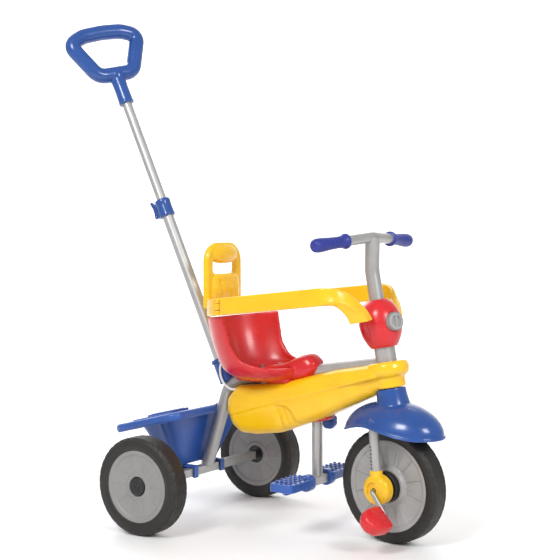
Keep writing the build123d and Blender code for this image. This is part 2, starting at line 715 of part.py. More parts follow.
# ---- assembly ----
def build_all():
    """Every piece by its name."""
    parts = {}
    parts["frame_tube"] = frame_tube()
    parts["head_tube"] = head_tube()
    parts["rear_axle_beam"] = rear_beam()
    parts["rear_axle"] = rear_axle()
    parts["axle_spacers"] = axle_spacers()
    parts["axle_nuts"] = axle_nuts()
    parts["head_bushes"] = Compound(children=[head_bush(HEAD_TUBE[0], HEAD_TUBE[0] + 18),
                                              head_bush(HEAD_TUBE[1] - 18, HEAD_TUBE[1])])
    parts["fairing_left"] = fairing_half(1)
    parts["fairing_right"] = fairing_half(-1)
    parts["footrest_post"] = footrest_post()
    parts["footrest_bar"] = footrest_bar()
    parts["footrest_sleeve"] = footrest_sleeve()
    parts["footrest_knob"] = footrest_knob()
    parts["bucket"] = bucket()
    parts["bucket_ribs"] = bucket_ribs()
    parts["bucket_clips"] = bucket_clips()
    parts["seat"] = seat()
    parts["seat_bolts"] = seat_bolts()
    parts["backrest"] = backrest()
    parts["arm_pins"] = arm_pins()
    parts["pole_lower"] = pole_lower()
    parts["pole_socket"] = pole_socket()
    parts["socket_clip"] = socket_clip()
    parts["clamp_collar"] = clamp_collar()
    parts["clamp_pin"] = clamp_pin()
    parts["clamp_lever"] = clamp_lever()
    parts["pole_upper"] = pole_upper()
    parts["handle_front"] = handle_half(True)
    parts["handle_rear"] = handle_half(False)
    for name, side in (("left", 1), ("right", -1)):
        parts["arm_" + name] = arm(side)
        parts["footpad_" + name] = footpad(side)
        for piece, solid in rear_wheel_parts(side).items():
            parts["rear_" + piece + "_" + name] = solid
    turning = {"steerer": steerer(), "fork_crown": fork_crown(), "stem": stem(), "handlebar": handlebar(),
               "ball_front": ball_half(True), "ball_rear": ball_half(False), "knob_base": knob_base(),
               "lock_knob": knob(), "mudguard": mudguard(), "crank": crank()}
    turning["fork_blades"] = both_sides(blade(1))
    turning["grips"] = both_sides(grip(1))
    turning.update(front_wheel_parts())
    for name, side in (("left", 1), ("right", -1)):
        turning["hub_cover_" + name] = hub_cover(side)
        turning["pedal_" + name] = pedal(side)
    for name, part in turning.items():
        parts[name] = steered(part)
    return parts


def place_all():
    """Move every piece to the row's origin and write it."""
    os.makedirs("parts", exist_ok=True)
    for name, part in build_all().items():
        export_step(Pos(-MIDDLE_X, 0, 0) * part, "parts/" + name + ".step")


place_all()
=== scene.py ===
import json
import bmesh
import bpy
import numpy as np
from mathutils import Matrix, Vector


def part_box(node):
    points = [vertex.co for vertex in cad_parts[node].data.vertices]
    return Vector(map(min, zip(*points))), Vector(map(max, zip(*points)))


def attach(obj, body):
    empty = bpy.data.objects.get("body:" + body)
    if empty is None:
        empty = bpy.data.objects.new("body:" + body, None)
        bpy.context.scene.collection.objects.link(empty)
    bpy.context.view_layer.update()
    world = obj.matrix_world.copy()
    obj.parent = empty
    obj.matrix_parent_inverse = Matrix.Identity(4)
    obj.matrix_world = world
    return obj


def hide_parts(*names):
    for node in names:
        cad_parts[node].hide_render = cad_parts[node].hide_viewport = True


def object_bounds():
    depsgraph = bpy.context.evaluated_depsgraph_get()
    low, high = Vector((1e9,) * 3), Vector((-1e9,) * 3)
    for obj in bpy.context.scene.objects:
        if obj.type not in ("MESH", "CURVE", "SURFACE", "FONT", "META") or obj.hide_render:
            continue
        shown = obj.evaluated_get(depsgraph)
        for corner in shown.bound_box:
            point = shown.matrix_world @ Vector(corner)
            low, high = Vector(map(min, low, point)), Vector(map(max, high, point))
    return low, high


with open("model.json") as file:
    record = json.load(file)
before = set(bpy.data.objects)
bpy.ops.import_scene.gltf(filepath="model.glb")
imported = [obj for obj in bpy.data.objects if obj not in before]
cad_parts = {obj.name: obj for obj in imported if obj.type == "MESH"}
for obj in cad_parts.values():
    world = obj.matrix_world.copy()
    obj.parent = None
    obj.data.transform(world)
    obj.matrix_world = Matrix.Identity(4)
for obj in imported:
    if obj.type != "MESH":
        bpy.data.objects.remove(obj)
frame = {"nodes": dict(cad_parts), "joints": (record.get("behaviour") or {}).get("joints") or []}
cad_low, cad_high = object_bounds()

# Child's tricycle. The pieces are drawn in millimetres in the design's own frame: X = 0 at the
# rear axle, Y to the rider's left, Z up from the floor. row() takes them to the model's frame.
MM = 0.001
JOINTS = {joint["name"]: joint for joint in frame["joints"]}
axle_low, axle_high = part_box("rear_axle")
AXLE_X = ((axle_low + axle_high) / 2).x


def design(point):
    """A point of the model's frame in the design's millimetres."""
    return np.array(point) / MM - (AXLE_X / MM, 0, 0)


def row(point):
    """A point of the design in the model's frame."""
    return np.array(point, float) * MM + (AXLE_X, 0, 0)


def node_box(node):
    """Low corner, middle and high corner of a node, in the design's millimetres."""
    low, high = [design(corner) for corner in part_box(node)]
    return low, (low + high) / 2, high


WHEEL_R = node_box("rear_axle")[1][2]
TYRE_LOW, TYRE_MIDDLE, TYRE_HIGH = node_box("rear_tyre_left")
TRACK = TYRE_MIDDLE[1]
TYRE_W = TYRE_HIGH[1] - TYRE_LOW[1]
FRONT_R = 114.0
FRONT_W = 45.6
REAR_RIM, FRONT_RIM = 74, 92
REAR_LUGS, FRONT_LUGS = 34, 38
REAR_DISC = (19.5, 10, 0.40, -2.5)  # hub radius, sectors, depth of their relief, height of the hub's boss
FRONT_DISC = (30, 12, 1.0, 1.5)
WHEELBASE = 457.0
STEER = np.radians(-8.5)            # the front end is stored turned a little to the right
HEAD = design(JOINTS["steering"]["pos_m"])
HEAD_UP = np.array(JOINTS["steering"]["axis"])
HEAD_FORWARD = np.cross((0, 1, 0), HEAD_UP)
POLE_UP = np.array(JOINTS["pole_extend"]["axis"])
POLE_OUT = np.cross((0, 1, 0), POLE_UP)
NECK = design(JOINTS["handle_turn"]["pos_m"])
NECK_T = 641.0                      # place of the handle's foot along the push pole
HANDLE_TURN = np.radians(30.0)
BALL_S = (9.5, 103.5)               # places up the steering axis: foot and top of the ball
KNOB_AZIMUTH = np.radians(-13.0)
KNOB_OUT = 45.2
PEDAL_TILT = np.radians(45.0)
BAR_T = np.array((413.0, 0.0, 604.0))
BAR_SWEEP = np.radians(8.5)
BAR_DROOP = np.radians(4.5)
GRIP_START = 71.0
GRIP_END = 160.0
RING_X = 165.0                      # middle of the safety ring's round part
RING_R = 128.0
RING_T = 10.0
RING_RISE = 0.1115                  # slope of the ring's lower edge, and its height at the rear axle
RING_LOW = 430.3
RING_TALL = 36.0
PIVOT_X = 118.0
PIVOT_Y = np.sqrt((RING_R - RING_T / 2) ** 2 - (RING_X - PIVOT_X) ** 2)
HINGE_ROOM = 9.5                    # between the hinge pins and the ends of the bands
CLAMP_T = 385.0                     # place of the clamp along the push pole


# ---- outlines and points ----
def rounded(points, radius, steps=6):
    """A closed outline with its corners turned into arcs, of one radius or one for each corner."""
    points = np.array(points, float)
    count = len(points)
    radii = np.broadcast_to(np.array(radius, float), (count,))
    out = []
    for i in range(count):
        before, here, after = points[i - 1], points[i], points[(i + 1) % count]
        a, b = before - here, after - here
        la, lb = np.linalg.norm(a), np.linalg.norm(b)
        a, b = a / la, b / lb
        half = np.arccos(np.clip(a @ b, -1, 1)) / 2
        if half > np.pi / 2 - 0.02 or radii[i] <= 0:
            out.append(here)
            continue
        reach = min(radii[i] / np.tan(half), 0.49 * la, 0.49 * lb)
        size = reach * np.tan(half)
        middle = here + (a + b) / np.linalg.norm(a + b) * size / np.sin(half)
        start, end = here + a * reach - middle, here + b * reach - middle
        first = np.arctan2(start[1], start[0])
        turn = (np.arctan2(end[1], end[0]) - first + np.pi) % (2 * np.pi) - np.pi
        for k in range(steps + 1):
            angle = first + turn * k / steps
            out.append(middle + size * np.array((np.cos(angle), np.sin(angle))))
    return np.array(out)


def corners(x0, x1, y0, y1):
    """The corners of a rectangle."""
    return [(x0, y0), (x1, y0), (x1, y1), (x0, y1)]


def at_height(outline, z):
    """A flat outline set at a height."""
    return np.column_stack([outline, np.full(len(outline), float(z))])


def upright(solid):
    """A solid drawn lying down stood up: its second and third axes change places."""
    return solid[0][:, (0, 2, 1)], solid[1]


def even(points, count, closed=True):
    """The same line with evenly spaced points."""
    points = np.array(points, float)
    line = np.vstack([points, points[:1]]) if closed else points
    length = np.concatenate([[0], np.cumsum(np.linalg.norm(np.diff(line, axis=0), axis=1))])
    at = np.linspace(0, length[-1], count, endpoint=not closed)
    return np.stack([np.interp(at, length, line[:, i]) for i in range(line.shape[1])], 1)


def curve(points, per_span=10):
    """A smooth line through the points."""
    points = np.array(points, float)
    ends = np.vstack([2 * points[0] - points[1], points, 2 * points[-1] - points[-2]])
    out = []
    for i in range(1, len(ends) - 2):
        p0, p1, p2, p3 = ends[i - 1:i + 3]
        for t in np.arange(per_span) / per_span:
            out.append(0.5 * (2 * p1 + (p2 - p0) * t + (2 * p0 - 5 * p1 + 4 * p2 - p3) * t ** 2
                              + (3 * p1 - p0 - 3 * p2 + p3) * t ** 3))
    out.append(points[-1])
    return np.array(out)


def bump(x, width):
    """1 at 0, falling smoothly to 0."""
    return np.exp(-(np.asarray(x) / width) ** 2)


def step(x, low, high):
    """0 below low, 1 above high, smooth between."""
    t = np.clip((np.asarray(x, float) - low) / (high - low), 0, 1)
    return t * t * (3 - 2 * t)


def near_line(x, z, points):
    """Distance in side view from each point to a line."""
    points = np.array(points, float)
    best = np.full(len(x), 1e9)
    for a, b in zip(points[:-1], points[1:]):
        way = b - a
        t = np.clip(((x - a[0]) * way[0] + (z - a[1]) * way[1]) / (way @ way), 0, 1)
        best = np.minimum(best, np.hypot(x - a[0] - t * way[0], z - a[1] - t * way[1]))
    return best


# ---- solids, each a list of points and a list of faces ----
def grid_faces(rows, columns, closed_rows=True):
    """Faces between rows of points, each row a closed loop."""
    faces = []
    for i in range(rows if closed_rows else rows - 1):
        for j in range(columns):
            a, b = i * columns, ((i + 1) % rows) * columns
            k = (j + 1) % columns
            faces.append((a + j, a + k, b + k, b + j))
    return faces


def lathe(profile, segments=96, start=0.0, turn=360.0, relief=None):
    """A closed profile of radius and height turned about Y."""
    profile = np.array(profile, float)
    whole = turn >= 360
    angles = np.radians(start + turn * np.arange(segments if whole else segments + 1) / segments)
    rings = []
    for angle in angles:
        r, h = profile[:, 0], profile[:, 1]
        if relief:
            dr, dh = relief(r, h, angle)
            r, h = r + dr, h + dh
        rings.append(np.stack([r * np.sin(angle), h, r * np.cos(angle)], 1))
    faces = grid_faces(len(rings), len(profile), whole)
    if not whole:
        last = (len(rings) - 1) * len(profile)
        faces += [tuple(range(len(profile)))[::-1], tuple(range(last, last + len(profile)))]
    return np.concatenate(rings), faces


def loft(sections):
    """A solid through closed sections with the same number of points."""
    sections = [np.array(s, float) for s in sections]
    columns = len(sections[0])
    faces = grid_faces(len(sections), columns, False)
    last = (len(sections) - 1) * columns
    ends = [tuple(range(columns))[::-1], tuple(range(last, last + columns))]
    return np.concatenate(sections), faces + ends


def tube(line, radius, sides=24, closed=False):
    """A round bar along a line; radius is one value or one for each point."""
    line = np.array(line, float)
    radii = np.broadcast_to(np.array(radius, float), (len(line),))
    way = np.roll(line, -1, 0) - np.roll(line, 1, 0)
    if not closed:
        way[0], way[-1] = line[1] - line[0], line[-1] - line[-2]
    way /= np.linalg.norm(way, axis=1)[:, None]
    side = np.cross(way[0], (0.3, 0.9, 0.2))
    rings = []
    for point, forward, r in zip(line, way, radii):
        side = side - forward * (side @ forward)
        side /= np.linalg.norm(side)
        other = np.cross(forward, side)
        angle = 2 * np.pi * np.arange(sides) / sides
        rings.append(point + r * (np.outer(np.cos(angle), side) + np.outer(np.sin(angle), other)))
    if closed:
        return np.concatenate(rings), grid_faces(len(rings), sides, True)
    return loft(rings)


def plate(outline, low, high, edge=0.0, steps=4):
    """An outline in the first two axes, from low to high along the third, with rounded rims."""
    outline = np.array(outline, float)
    way = np.roll(outline, -1, 0) - np.roll(outline, 1, 0)
    normal = np.stack([way[:, 1], -way[:, 0]], 1) / np.linalg.norm(way, axis=1)[:, None]
    ahead = np.roll(outline, -1, 0)
    normal *= np.sign(np.sum(outline[:, 0] * ahead[:, 1] - outline[:, 1] * ahead[:, 0]))
    levels = [(low, 0.0), (high, 0.0)]
    if edge:
        turns = np.pi / 2 * np.arange(steps + 1) / steps
        levels = [(low + edge * (1 - np.sin(t)), edge * (1 - np.cos(t))) for t in turns[::-1]]
        levels += [(high - edge * (1 - np.sin(t)), edge * (1 - np.cos(t))) for t in turns]
    return loft([at_height(outline - normal * inset, z) for z, inset in levels])


def side_plate(outline, low, high, edge=0.0):
    """A plate drawn in side view, X and Z, from low to high along Y."""
    return upright(plate(outline, low, high, edge))


def front_plate(outline, low, high, edge=0.0):
    """A plate drawn in front view, Y and Z, from low to high along X."""
    points, faces = plate(outline, low, high, edge)
    return points[:, (2, 0, 1)], faces


def moved(solid, by):
    """A solid shifted along the three axes."""
    return solid[0] + np.array(by, float), solid[1]


def mirrored(solid):
    """A solid on the other side of the middle plane."""
    return solid[0] * (1, -1, 1), [face[::-1] for face in solid[1]]


def both(solid):
    """A solid and its mirror image."""
    return together(solid, mirrored(solid))


def together(*solids):
    """Several solids as one list of points and faces."""
    points, faces, count = [], [], 0
    for p, f in solids:
        points.append(p)
        faces += [tuple(i + count for i in face) for face in f]
        count += len(p)
    return np.concatenate(points), faces


def placed(solid, origin, x_way, y_way, z_way):
    """A solid from local axes to the design's frame."""
    basis = np.array([x_way, y_way, z_way], float)
    return np.array(origin, float) + solid[0] @ basis, solid[1]


def along_y(solid):
    """A lathe's Y axis laid along Z."""
    return np.stack([solid[0][:, 2], solid[0][:, 0], solid[0][:, 1]], 1), solid[1]


def on_head(solid, s=0.0, azimuth=0.0):
    """From local axes, z up the steering axis, x forward, to the design's frame."""
    forward = HEAD_FORWARD * np.cos(azimuth) + np.array((0, 1, 0)) * np.sin(azimuth)
    side = np.cross(HEAD_UP, forward)
    return placed(solid, HEAD + HEAD_UP * s, forward, side, HEAD_UP)


def pole_out(turn):
    """The way out of the push pole towards the rider, turned about the pole."""
    return POLE_OUT * np.cos(turn) - np.array((0, 1, 0)) * np.sin(turn)


def on_pole(solid, t=0.0, turn=0.0):
    """From local axes, z up the push pole, x towards the rider, to the design's frame."""
    out = pole_out(turn)
    return placed(solid, NECK + POLE_UP * (t - NECK_T), out, np.cross(POLE_UP, out), POLE_UP)


def steered(points):
    """Points turned to the stored steering angle."""
    turn = np.array(Matrix.Rotation(STEER, 3, Vector(HEAD_UP)))
    return (points - HEAD) @ turn.T + HEAD


# ---- pieces ----
def linked(name, data):
    """A new object in the scene."""
    obj = bpy.data.objects.new(name, data)
    bpy.context.scene.collection.objects.link(obj)
    return obj


def make(name, solid, turned=False):
    """A piece from a solid, turned with the steering if asked."""
    mesh = bpy.data.meshes.new(name)
    mesh.from_pydata(row(steered(solid[0]) if turned else solid[0]).tolist(), [], solid[1])
    obj = linked(name, mesh)
    clean(obj)
    return obj


def clean(obj):
    """Joins doubled points and turns every face outward."""
    work = bmesh.new()
    work.from_mesh(obj.data)
    bmesh.ops.remove_doubles(work, verts=work.verts, dist=2e-6)
    bmesh.ops.recalc_face_normals(work, faces=work.faces)
    work.to_mesh(obj.data)
    work.free()


def settle(obj):
    """Makes the modifiers' result the object's own mesh."""
    graph = bpy.context.evaluated_depsgraph_get()
    mesh = bpy.data.meshes.new_from_object(obj.evaluated_get(graph))
    obj.modifiers.clear()
    obj.data = mesh
    return obj


def cut(obj, *solids, turned=False):
    """Takes solids away from an object."""
    for solid in solids:
        tool = make("tool", solid, turned)
        boolean = obj.modifiers.new("cut", "BOOLEAN")
        boolean.operation = "DIFFERENCE"
        boolean.solver = "EXACT"
        boolean.object = tool
        settle(obj)
        bpy.data.objects.remove(tool)
    return obj


def melt(obj, voxel=1.5, rounds=6):
    """Joins everything in the object into one moulded skin with softened edges."""
    remesh = obj.modifiers.new("skin", "REMESH")
    remesh.mode = "VOXEL"
    remesh.voxel_size = voxel * MM
    if rounds:
        smooth = obj.modifiers.new("smooth", "SMOOTH")
        smooth.factor = 0.5
        smooth.iterations = rounds
    return settle(obj)


def reshape(obj, change):
    """Moves an object's points with a function of their place in the design's millimetres."""
    points = np.zeros(len(obj.data.vertices) * 3)
    obj.data.vertices.foreach_get("co", points)
    points = (points.reshape(-1, 3) - (AXLE_X, 0, 0)) / MM
    obj.data.vertices.foreach_set("co", row(change(points)).ravel())
    obj.data.update()
    return obj


def halves(obj, name_a, name_b, point, normal, gap=0.25):
    """Cuts an object in two at a plane, with a fine seam between the halves."""
    pieces = []
    for name, way in ((name_a, 1), (name_b, -1)):
        work = bmesh.new()
        work.from_mesh(obj.data)
        at = Vector(row(point)) + Vector(normal) * way * gap * MM
        found = bmesh.ops.bisect_plane(
            work, geom=work.verts[:] + work.edges[:] + work.faces[:], plane_co=at,
            plane_no=Vector(normal) * way, clear_inner=True, dist=1e-7)
        rim = [e for e in found["geom_cut"] if isinstance(e, bmesh.types.BMEdge)]
        bmesh.ops.triangle_fill(work, edges=rim, use_beauty=True, use_dissolve=False)
        mesh = bpy.data.meshes.new(name)
        work.to_mesh(mesh)
        work.free()
        pieces.append(linked(name, mesh))
    bpy.data.objects.remove(obj)
    return pieces


def soften(node, voxel, rounds):
    """A moulded skin over a node's own shape."""
    obj = linked(node + "_skin", frame["nodes"][node].data.copy())
    clean(obj)
    return melt(obj, voxel, rounds)


def finished(obj, name, body, slot_name, nodes=(), look=None):
    """Names a piece, gives it its material and fastens it to its body."""
    obj.name = name
    obj.data.name = name
    obj.data.materials.clear()
    obj.data.materials.append(MATERIALS[look or slot_name])
    obj.data.polygons.foreach_set("use_smooth", [True] * len(obj.data.polygons))
    obj.data.polygons.foreach_set("material_index", [0] * len(obj.data.polygons))
    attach(obj, body)
    if nodes:
        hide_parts(*nodes)
    return obj


# ---- materials ----
def shader(name):
    """A new material with its tree and its surface node."""
    material = bpy.data.materials.new(name)
    material.use_nodes = True
    return material, material.node_tree, material.node_tree.nodes["Principled BSDF"]


def noise(tree, scale, detail=3.0, stretch=None):
    """A noise pattern fixed to the object."""
    place = tree.nodes.new("ShaderNodeTexCoord")
    texture = tree.nodes.new("ShaderNodeTexNoise")
    texture.inputs["Scale"].default_value = scale
    texture.inputs["Detail"].default_value = detail
    source = place.outputs["Object"]
    if stretch:
        mapping = tree.nodes.new("ShaderNodeMapping")
        mapping.inputs["Scale"].default_value = stretch
        tree.links.new(source, mapping.inputs["Vector"])
        source = mapping.outputs["Vector"]
    tree.links.new(source, texture.inputs["Vector"])
    return texture.outputs["Fac"]


def ranged(tree, value, low, high, start=0.3, end=0.7):
    """A pattern's values between two limits."""
    node = tree.nodes.new("ShaderNodeMapRange")
    for socket, number in zip(("From Min", "From Max", "To Min", "To Max"), (start, end, low, high)):
        node.inputs[socket].default_value = number
    tree.links.new(value, node.inputs["Value"])
    return node.outputs["Result"]


def mixed(tree, factor, a, b):
    """One of two colours, by a pattern."""
    node = tree.nodes.new("ShaderNodeMix")
    node.data_type = "RGBA"
    tree.links.new(factor, node.inputs["Factor"])
    for socket, colour in ((node.inputs[6], a), (node.inputs[7], b)):
        if isinstance(colour, tuple):
            socket.default_value = (*colour, 1)
        else:
            tree.links.new(colour, socket)
    return node.outputs[2]


def bumped(tree, bsdf, *patterns):
    """Fine relief from patterns of height, strength and depth."""
    last = None
    for height, strength, depth in patterns:
        node = tree.nodes.new("ShaderNodeBump")
        node.inputs["Strength"].default_value = strength
        node.inputs["Distance"].default_value = depth
        tree.links.new(height, node.inputs["Height"])
        if last:
            tree.links.new(last, node.inputs["Normal"])
        last = node.outputs["Normal"]
    tree.links.new(last, bsdf.inputs["Normal"])


def painted_edge_highlight(tree, colour, edge, strength=0.35):
    """The colour, painted paler on sharp convex edges: a painted edge highlight."""
    geometry = tree.nodes.new("ShaderNodeNewGeometry")
    # painted highlight: convex edges, found by pointiness, take the paler colour
    highlight_share = ranged(tree, geometry.outputs["Pointiness"], 0.0, strength, 0.505, 0.60)
    return mixed(tree, highlight_share, colour, edge)


def plastic(name, colour, deep, edge, roughness, coat=0.0, grain=0.06):
    """Moulded plastic: slight cloudiness, satin flow marks, a fine grain and edges painted paler as a
    highlight.
    """
    material, tree, bsdf = shader(name)
    cloud = mixed(tree, ranged(tree, noise(tree, 22, 4), 0, 1), deep, colour)
    # convex edges take the paler edge colour: a painted highlight
    tree.links.new(painted_edge_highlight(tree, cloud, edge), bsdf.inputs["Base Color"])
    flow = noise(tree, 9, 3, (1, 1, 3.5))
    tree.links.new(ranged(tree, flow, roughness - 0.04, roughness + 0.07), bsdf.inputs["Roughness"])
    bsdf.inputs["Coat Weight"].default_value = coat
    bsdf.inputs["Coat Roughness"].default_value = 0.12
    bsdf.inputs["IOR"].default_value = 1.49
    bumped(tree, bsdf, (noise(tree, 26, 2), 0.10, 0.0012), (noise(tree, 1500, 2), grain, 0.0002))
    return material


def metal(name, colour, roughness, metallic, flake=0.0, brushed=None):
    """Painted or bare steel."""
    material, tree, bsdf = shader(name)
    dark = tuple(c * 0.90 for c in colour)
    cloud = mixed(tree, ranged(tree, noise(tree, 35, 4), 0, 1), dark, colour)
    tree.links.new(cloud, bsdf.inputs["Base Color"])
    marks = noise(tree, 300, 3, brushed) if brushed else noise(tree, 60, 4)
    tree.links.new(ranged(tree, marks, roughness - 0.05, roughness + 0.08), bsdf.inputs["Roughness"])
    bsdf.inputs["Metallic"].default_value = metallic
    bsdf.inputs["Coat Weight"].default_value = flake
    bsdf.inputs["Coat Roughness"].default_value = 0.15
    bumped(tree, bsdf, (noise(tree, 700, 2), 0.05, 0.0002), (noise(tree, 40, 2), 0.06, 0.0006))
    return material


def rubberlike(name, colour, roughness):
    """Hard matt tyre plastic with dusty, scuffed patches and edges painted paler as a highlight."""
    material, tree, bsdf = shader(name)
    dust = ranged(tree, noise(tree, 14, 6), 0.0, 0.5, 0.48, 0.75)
    colour_out = mixed(tree, dust, colour, tuple(c * 1.9 for c in colour))
    # painted highlight: the tyre's convex edges are painted paler
    tree.links.new(painted_edge_highlight(tree, colour_out, (0.16, 0.15, 0.14), 0.3), bsdf.inputs["Base Color"])
    scuffs = ranged(tree, noise(tree, 40, 5), roughness - 0.08, roughness + 0.12)
    tree.links.new(scuffs, bsdf.inputs["Roughness"])
    bumped(tree, bsdf, (noise(tree, 900, 3), 0.12, 0.0003), (noise(tree, 70, 3), 0.10, 0.0006))
    return material


# colour, the deeper colour it is clouded with, the paler colour painted on edges as a highlight, roughness
# and gloss coat
PLASTICS = {
    "yellow": ((0.91, 0.535, 0.004), (0.86, 0.475, 0.003), (0.96, 0.64, 0.05), 0.24, 0.35),
    "red": ((0.66, 0.011, 0.018), (0.57, 0.007, 0.012), (0.76, 0.05, 0.05), 0.30, 0.25),
    "blue": ((0.026, 0.098, 0.400), (0.020, 0.083, 0.345), (0.08, 0.18, 0.55), 0.32, 0.15),
    "deep_blue": ((0.017, 0.074, 0.300), (0.013, 0.062, 0.255), (0.05, 0.13, 0.42), 0.22, 0.30),
    "grip_blue": ((0.020, 0.034, 0.265), (0.015, 0.027, 0.225), (0.05, 0.08, 0.38), 0.40),
    "grey_plastic": ((0.27, 0.262, 0.258), (0.24, 0.233, 0.23), (0.38, 0.37, 0.36), 0.36, 0.1),
    "front_grey": ((0.37, 0.362, 0.358), (0.33, 0.323, 0.32), (0.48, 0.47, 0.46), 0.34, 0.1),
    "black_plastic": ((0.012, 0.012, 0.012), (0.008, 0.008, 0.008), (0.06, 0.06, 0.06), 0.42),
    "white_plastic": ((0.80, 0.80, 0.81), (0.74, 0.74, 0.75), (0.86, 0.86, 0.86), 0.35),
}
MATERIALS = {key: plastic(key.replace("_plastic", "") + "_plastic", *look) for key, look in PLASTICS.items()}
MATERIALS.update({
    "tyre_plastic": rubberlike("tyre_plastic", (0.013, 0.0112, 0.0098), 0.52),
    "painted_steel": metal("silver_paint", (0.46, 0.452, 0.445), 0.36, 0.60, 0.25),
    "dark_steel": metal("zinc_steel", (0.42, 0.42, 0.43), 0.33, 0.95),
    "chrome_pole": metal("satin_pole", (0.50, 0.495, 0.49), 0.40, 0.65, 0.1, (1, 1, 14)),
})


# ---- wheels ----
def tread(radius, half, lugs):
    """Shallow slanted lug grooves across the tyre's shoulders and two lines round it."""
    def relief(r, h, angle):
        worked = step(r, radius - 13, radius - 7)
        across = np.abs(h) / half
        phase = (angle * lugs / (2 * np.pi) + np.abs(h) * 0.045 * np.sign(h + 1e-9)) % 1.0
        lug = bump((phase - 0.5) * 2 * np.pi * radius / lugs, 1.5) * step(across, 0.50, 0.66)
        line = bump(np.abs(h) - 0.44 * half, 1.1)
        return -worked * (1.3 * lug + 0.8 * line), 0.0
    return relief


def tyre_solid(radius, width, rim, lugs):
    """A hollow tyre, open towards its rim."""
    half = width / 2
    wall = 5
    outer = [(rim - 1, 2.5 - half), (rim + 8, -half), (radius - 6, 0.5 - half), (radius, 6 - half)]
    inner = corners(rim - 1, radius - wall, wall - half, half - wall)
    points = outer + [(r, -h) for r, h in outer[::-1]] + inner[::-1]
    outline = rounded(points, [1, 4, 6, 6, 6, 6, 4, 1, 0.5, 2, 2, 0.5])
    return lathe(even(outline, 150), 540, relief=tread(radius, half, lugs))


def disc_solid(width, rim, hub, spokes, depth, boss):
    """One dished wheel disc, outer face towards +Y, with fine lines between its sectors."""
    face = width / 2 - 4
    outline = rounded([(hub, face - 5), (hub, face + boss), (hub + 6, face + boss), (hub + 10.5, face - 4.5),
                       (rim - 11, face - 2), (rim - 8.5, face - 0.2), (rim - 4, face + 0.4),
                       (rim + 0.5, face + 0.4), (rim + 0.5, face - 4), (rim - 9, face - 5.5),
                       (hub + 10, face - 8)],
                      [0.5, 1.6, 1.6, 3, 2, 1.2, 0.8, 0.6, 0.5, 2, 2])

    def relief(r, h, angle):
        sector = (angle * spokes / (2 * np.pi)) % 1.0 - 0.5
        web = step(r, hub + 10, hub + 13) * (1 - step(r, rim - 12, rim - 10))
        worked = web * step(h, face - 4.9, face - 4.4)
        gap = sector * 2 * np.pi * r / spokes
        ridge = 0.9 * bump(np.abs(gap) - 2.6, 1.2)
        return 0.0, worked * depth * (ridge - 1.3 * bump(gap, 0.9) - 1.5 * (1 - (2 * sector) ** 2))
    return lathe(even(outline, 130), 720, relief=relief)


def wheel(tag, body, at, radius, width, rim, lugs, disc, grey, turned, nodes):
    """A tyre and the pair of discs that carries it."""
    tyre = make("tyre", moved(tyre_solid(radius, width, rim, lugs), at), turned)
    finished(tyre, tag + "_tyre_tread", body, "tyre_plastic", (nodes[0],))
    pair = make("discs", moved(both(disc_solid(width, rim, *disc)), at), turned)
    finished(pair, tag + "_wheel_discs", body, "grey_plastic", (nodes[1],), grey)


def hub_cap(tag, body, side):
    """Black cap with a raised boss and a dimple, on the wheel's outer face."""
    profile = rounded([(0, 15.2), (19, 15.2), (19, 19.4), (14.5, 21.4), (8.5, 21.0), (7.5, 23.0),
                       (3.2, 23.0), (2.6, 21.6), (0, 21.6)], [0, 0.4, 1.4, 1.2, 0.8, 0.9, 0.7, 0.4, 0])
    cap = moved(lathe(profile, 64), (0, TRACK, WHEEL_R))
    bar = plate(rounded(corners(10.2, 13.8, -0.9, 0.9), 0.6, 3), 20.4, 21.9, 0.4, 2)
    lugs = []
    for i in range(6):
        angle = 2 * np.pi * i / 6
        ways = ((np.sin(angle), 0, np.cos(angle)), (np.cos(angle), 0, -np.sin(angle)), (0, 1, 0))
        lugs.append(placed(bar, (0, TRACK, WHEEL_R), *ways))
    solid = together(cap, *lugs)
    obj = make("cap", solid if side > 0 else mirrored(solid))
    finished(obj, "rear_hub_cap_" + tag, body, "black_plastic", ("rear_cap_" + tag,))


def wheels():
    """Rear wheels with their caps, and the front wheel."""
    for tag, side in (("left", 1), ("right", -1)):
        wheel("rear_" + tag, "rear_wheel_" + tag, (0, side * TRACK, WHEEL_R), WHEEL_R, TYRE_W, REAR_RIM,
              REAR_LUGS, REAR_DISC, "grey_plastic", False, ("rear_tyre_" + tag, "rear_discs_" + tag))
        hub_cap(tag, "rear_wheel_" + tag, side)
    wheel("front", "front_wheel", (WHEELBASE, 0, FRONT_R), FRONT_R, FRONT_W, FRONT_RIM, FRONT_LUGS,
          FRONT_DISC, "front_grey", True, ("front_tyre", "front_discs"))


# ---- steering ----
def ball():
    """Barrel-shaped cover in two halves, with a seat for the lock knob."""
    low = BALL_S[0]
    out = [(22.0, -4), (26.0, -4), (31, 3), (39, 20), (42.8, 38), (42.6, 50), (38.5, 67), (30, 82),
           (21, 90.5), (16, 90.5)]
    outer = np.vstack([out[:2], curve(out[1:-1], 6), out[-1:]])
    inner = [(15.2, 87.5), (20, 86.5), (27, 79), (35, 65), (39.3, 47), (35, 22), (27, 8), (22, 1)]
    profile = np.vstack([outer, inner])
    shell = on_head(along_y(lathe(profile, 128)), low)
    obj = make("ball", shell, True)
    well = lathe(rounded(corners(0, 18.8, -14, 14), [0, 1, 1, 0]), 96)
    cut(obj, knob_place(well), turned=True)
    front = steered(HEAD + HEAD_FORWARD) - HEAD
    fore, aft = halves(obj, "ball_front_shell", "ball_rear_shell", HEAD, front)
    finished(fore, "ball_front_shell", "steering", "red", ("ball_front",))
    finished(aft, "ball_rear_shell", "steering", "red", ("ball_rear",))


def knob_place(solid):
    """A lathe about Y set on the ball with its Y axis pointing outward."""
    tall = BALL_S[1] - BALL_S[0]
    local = solid[0][:, (1, 0, 2)] + (KNOB_OUT, 0, tall * 0.46)
    return on_head((local, solid[1]), BALL_S[0], KNOB_AZIMUTH)


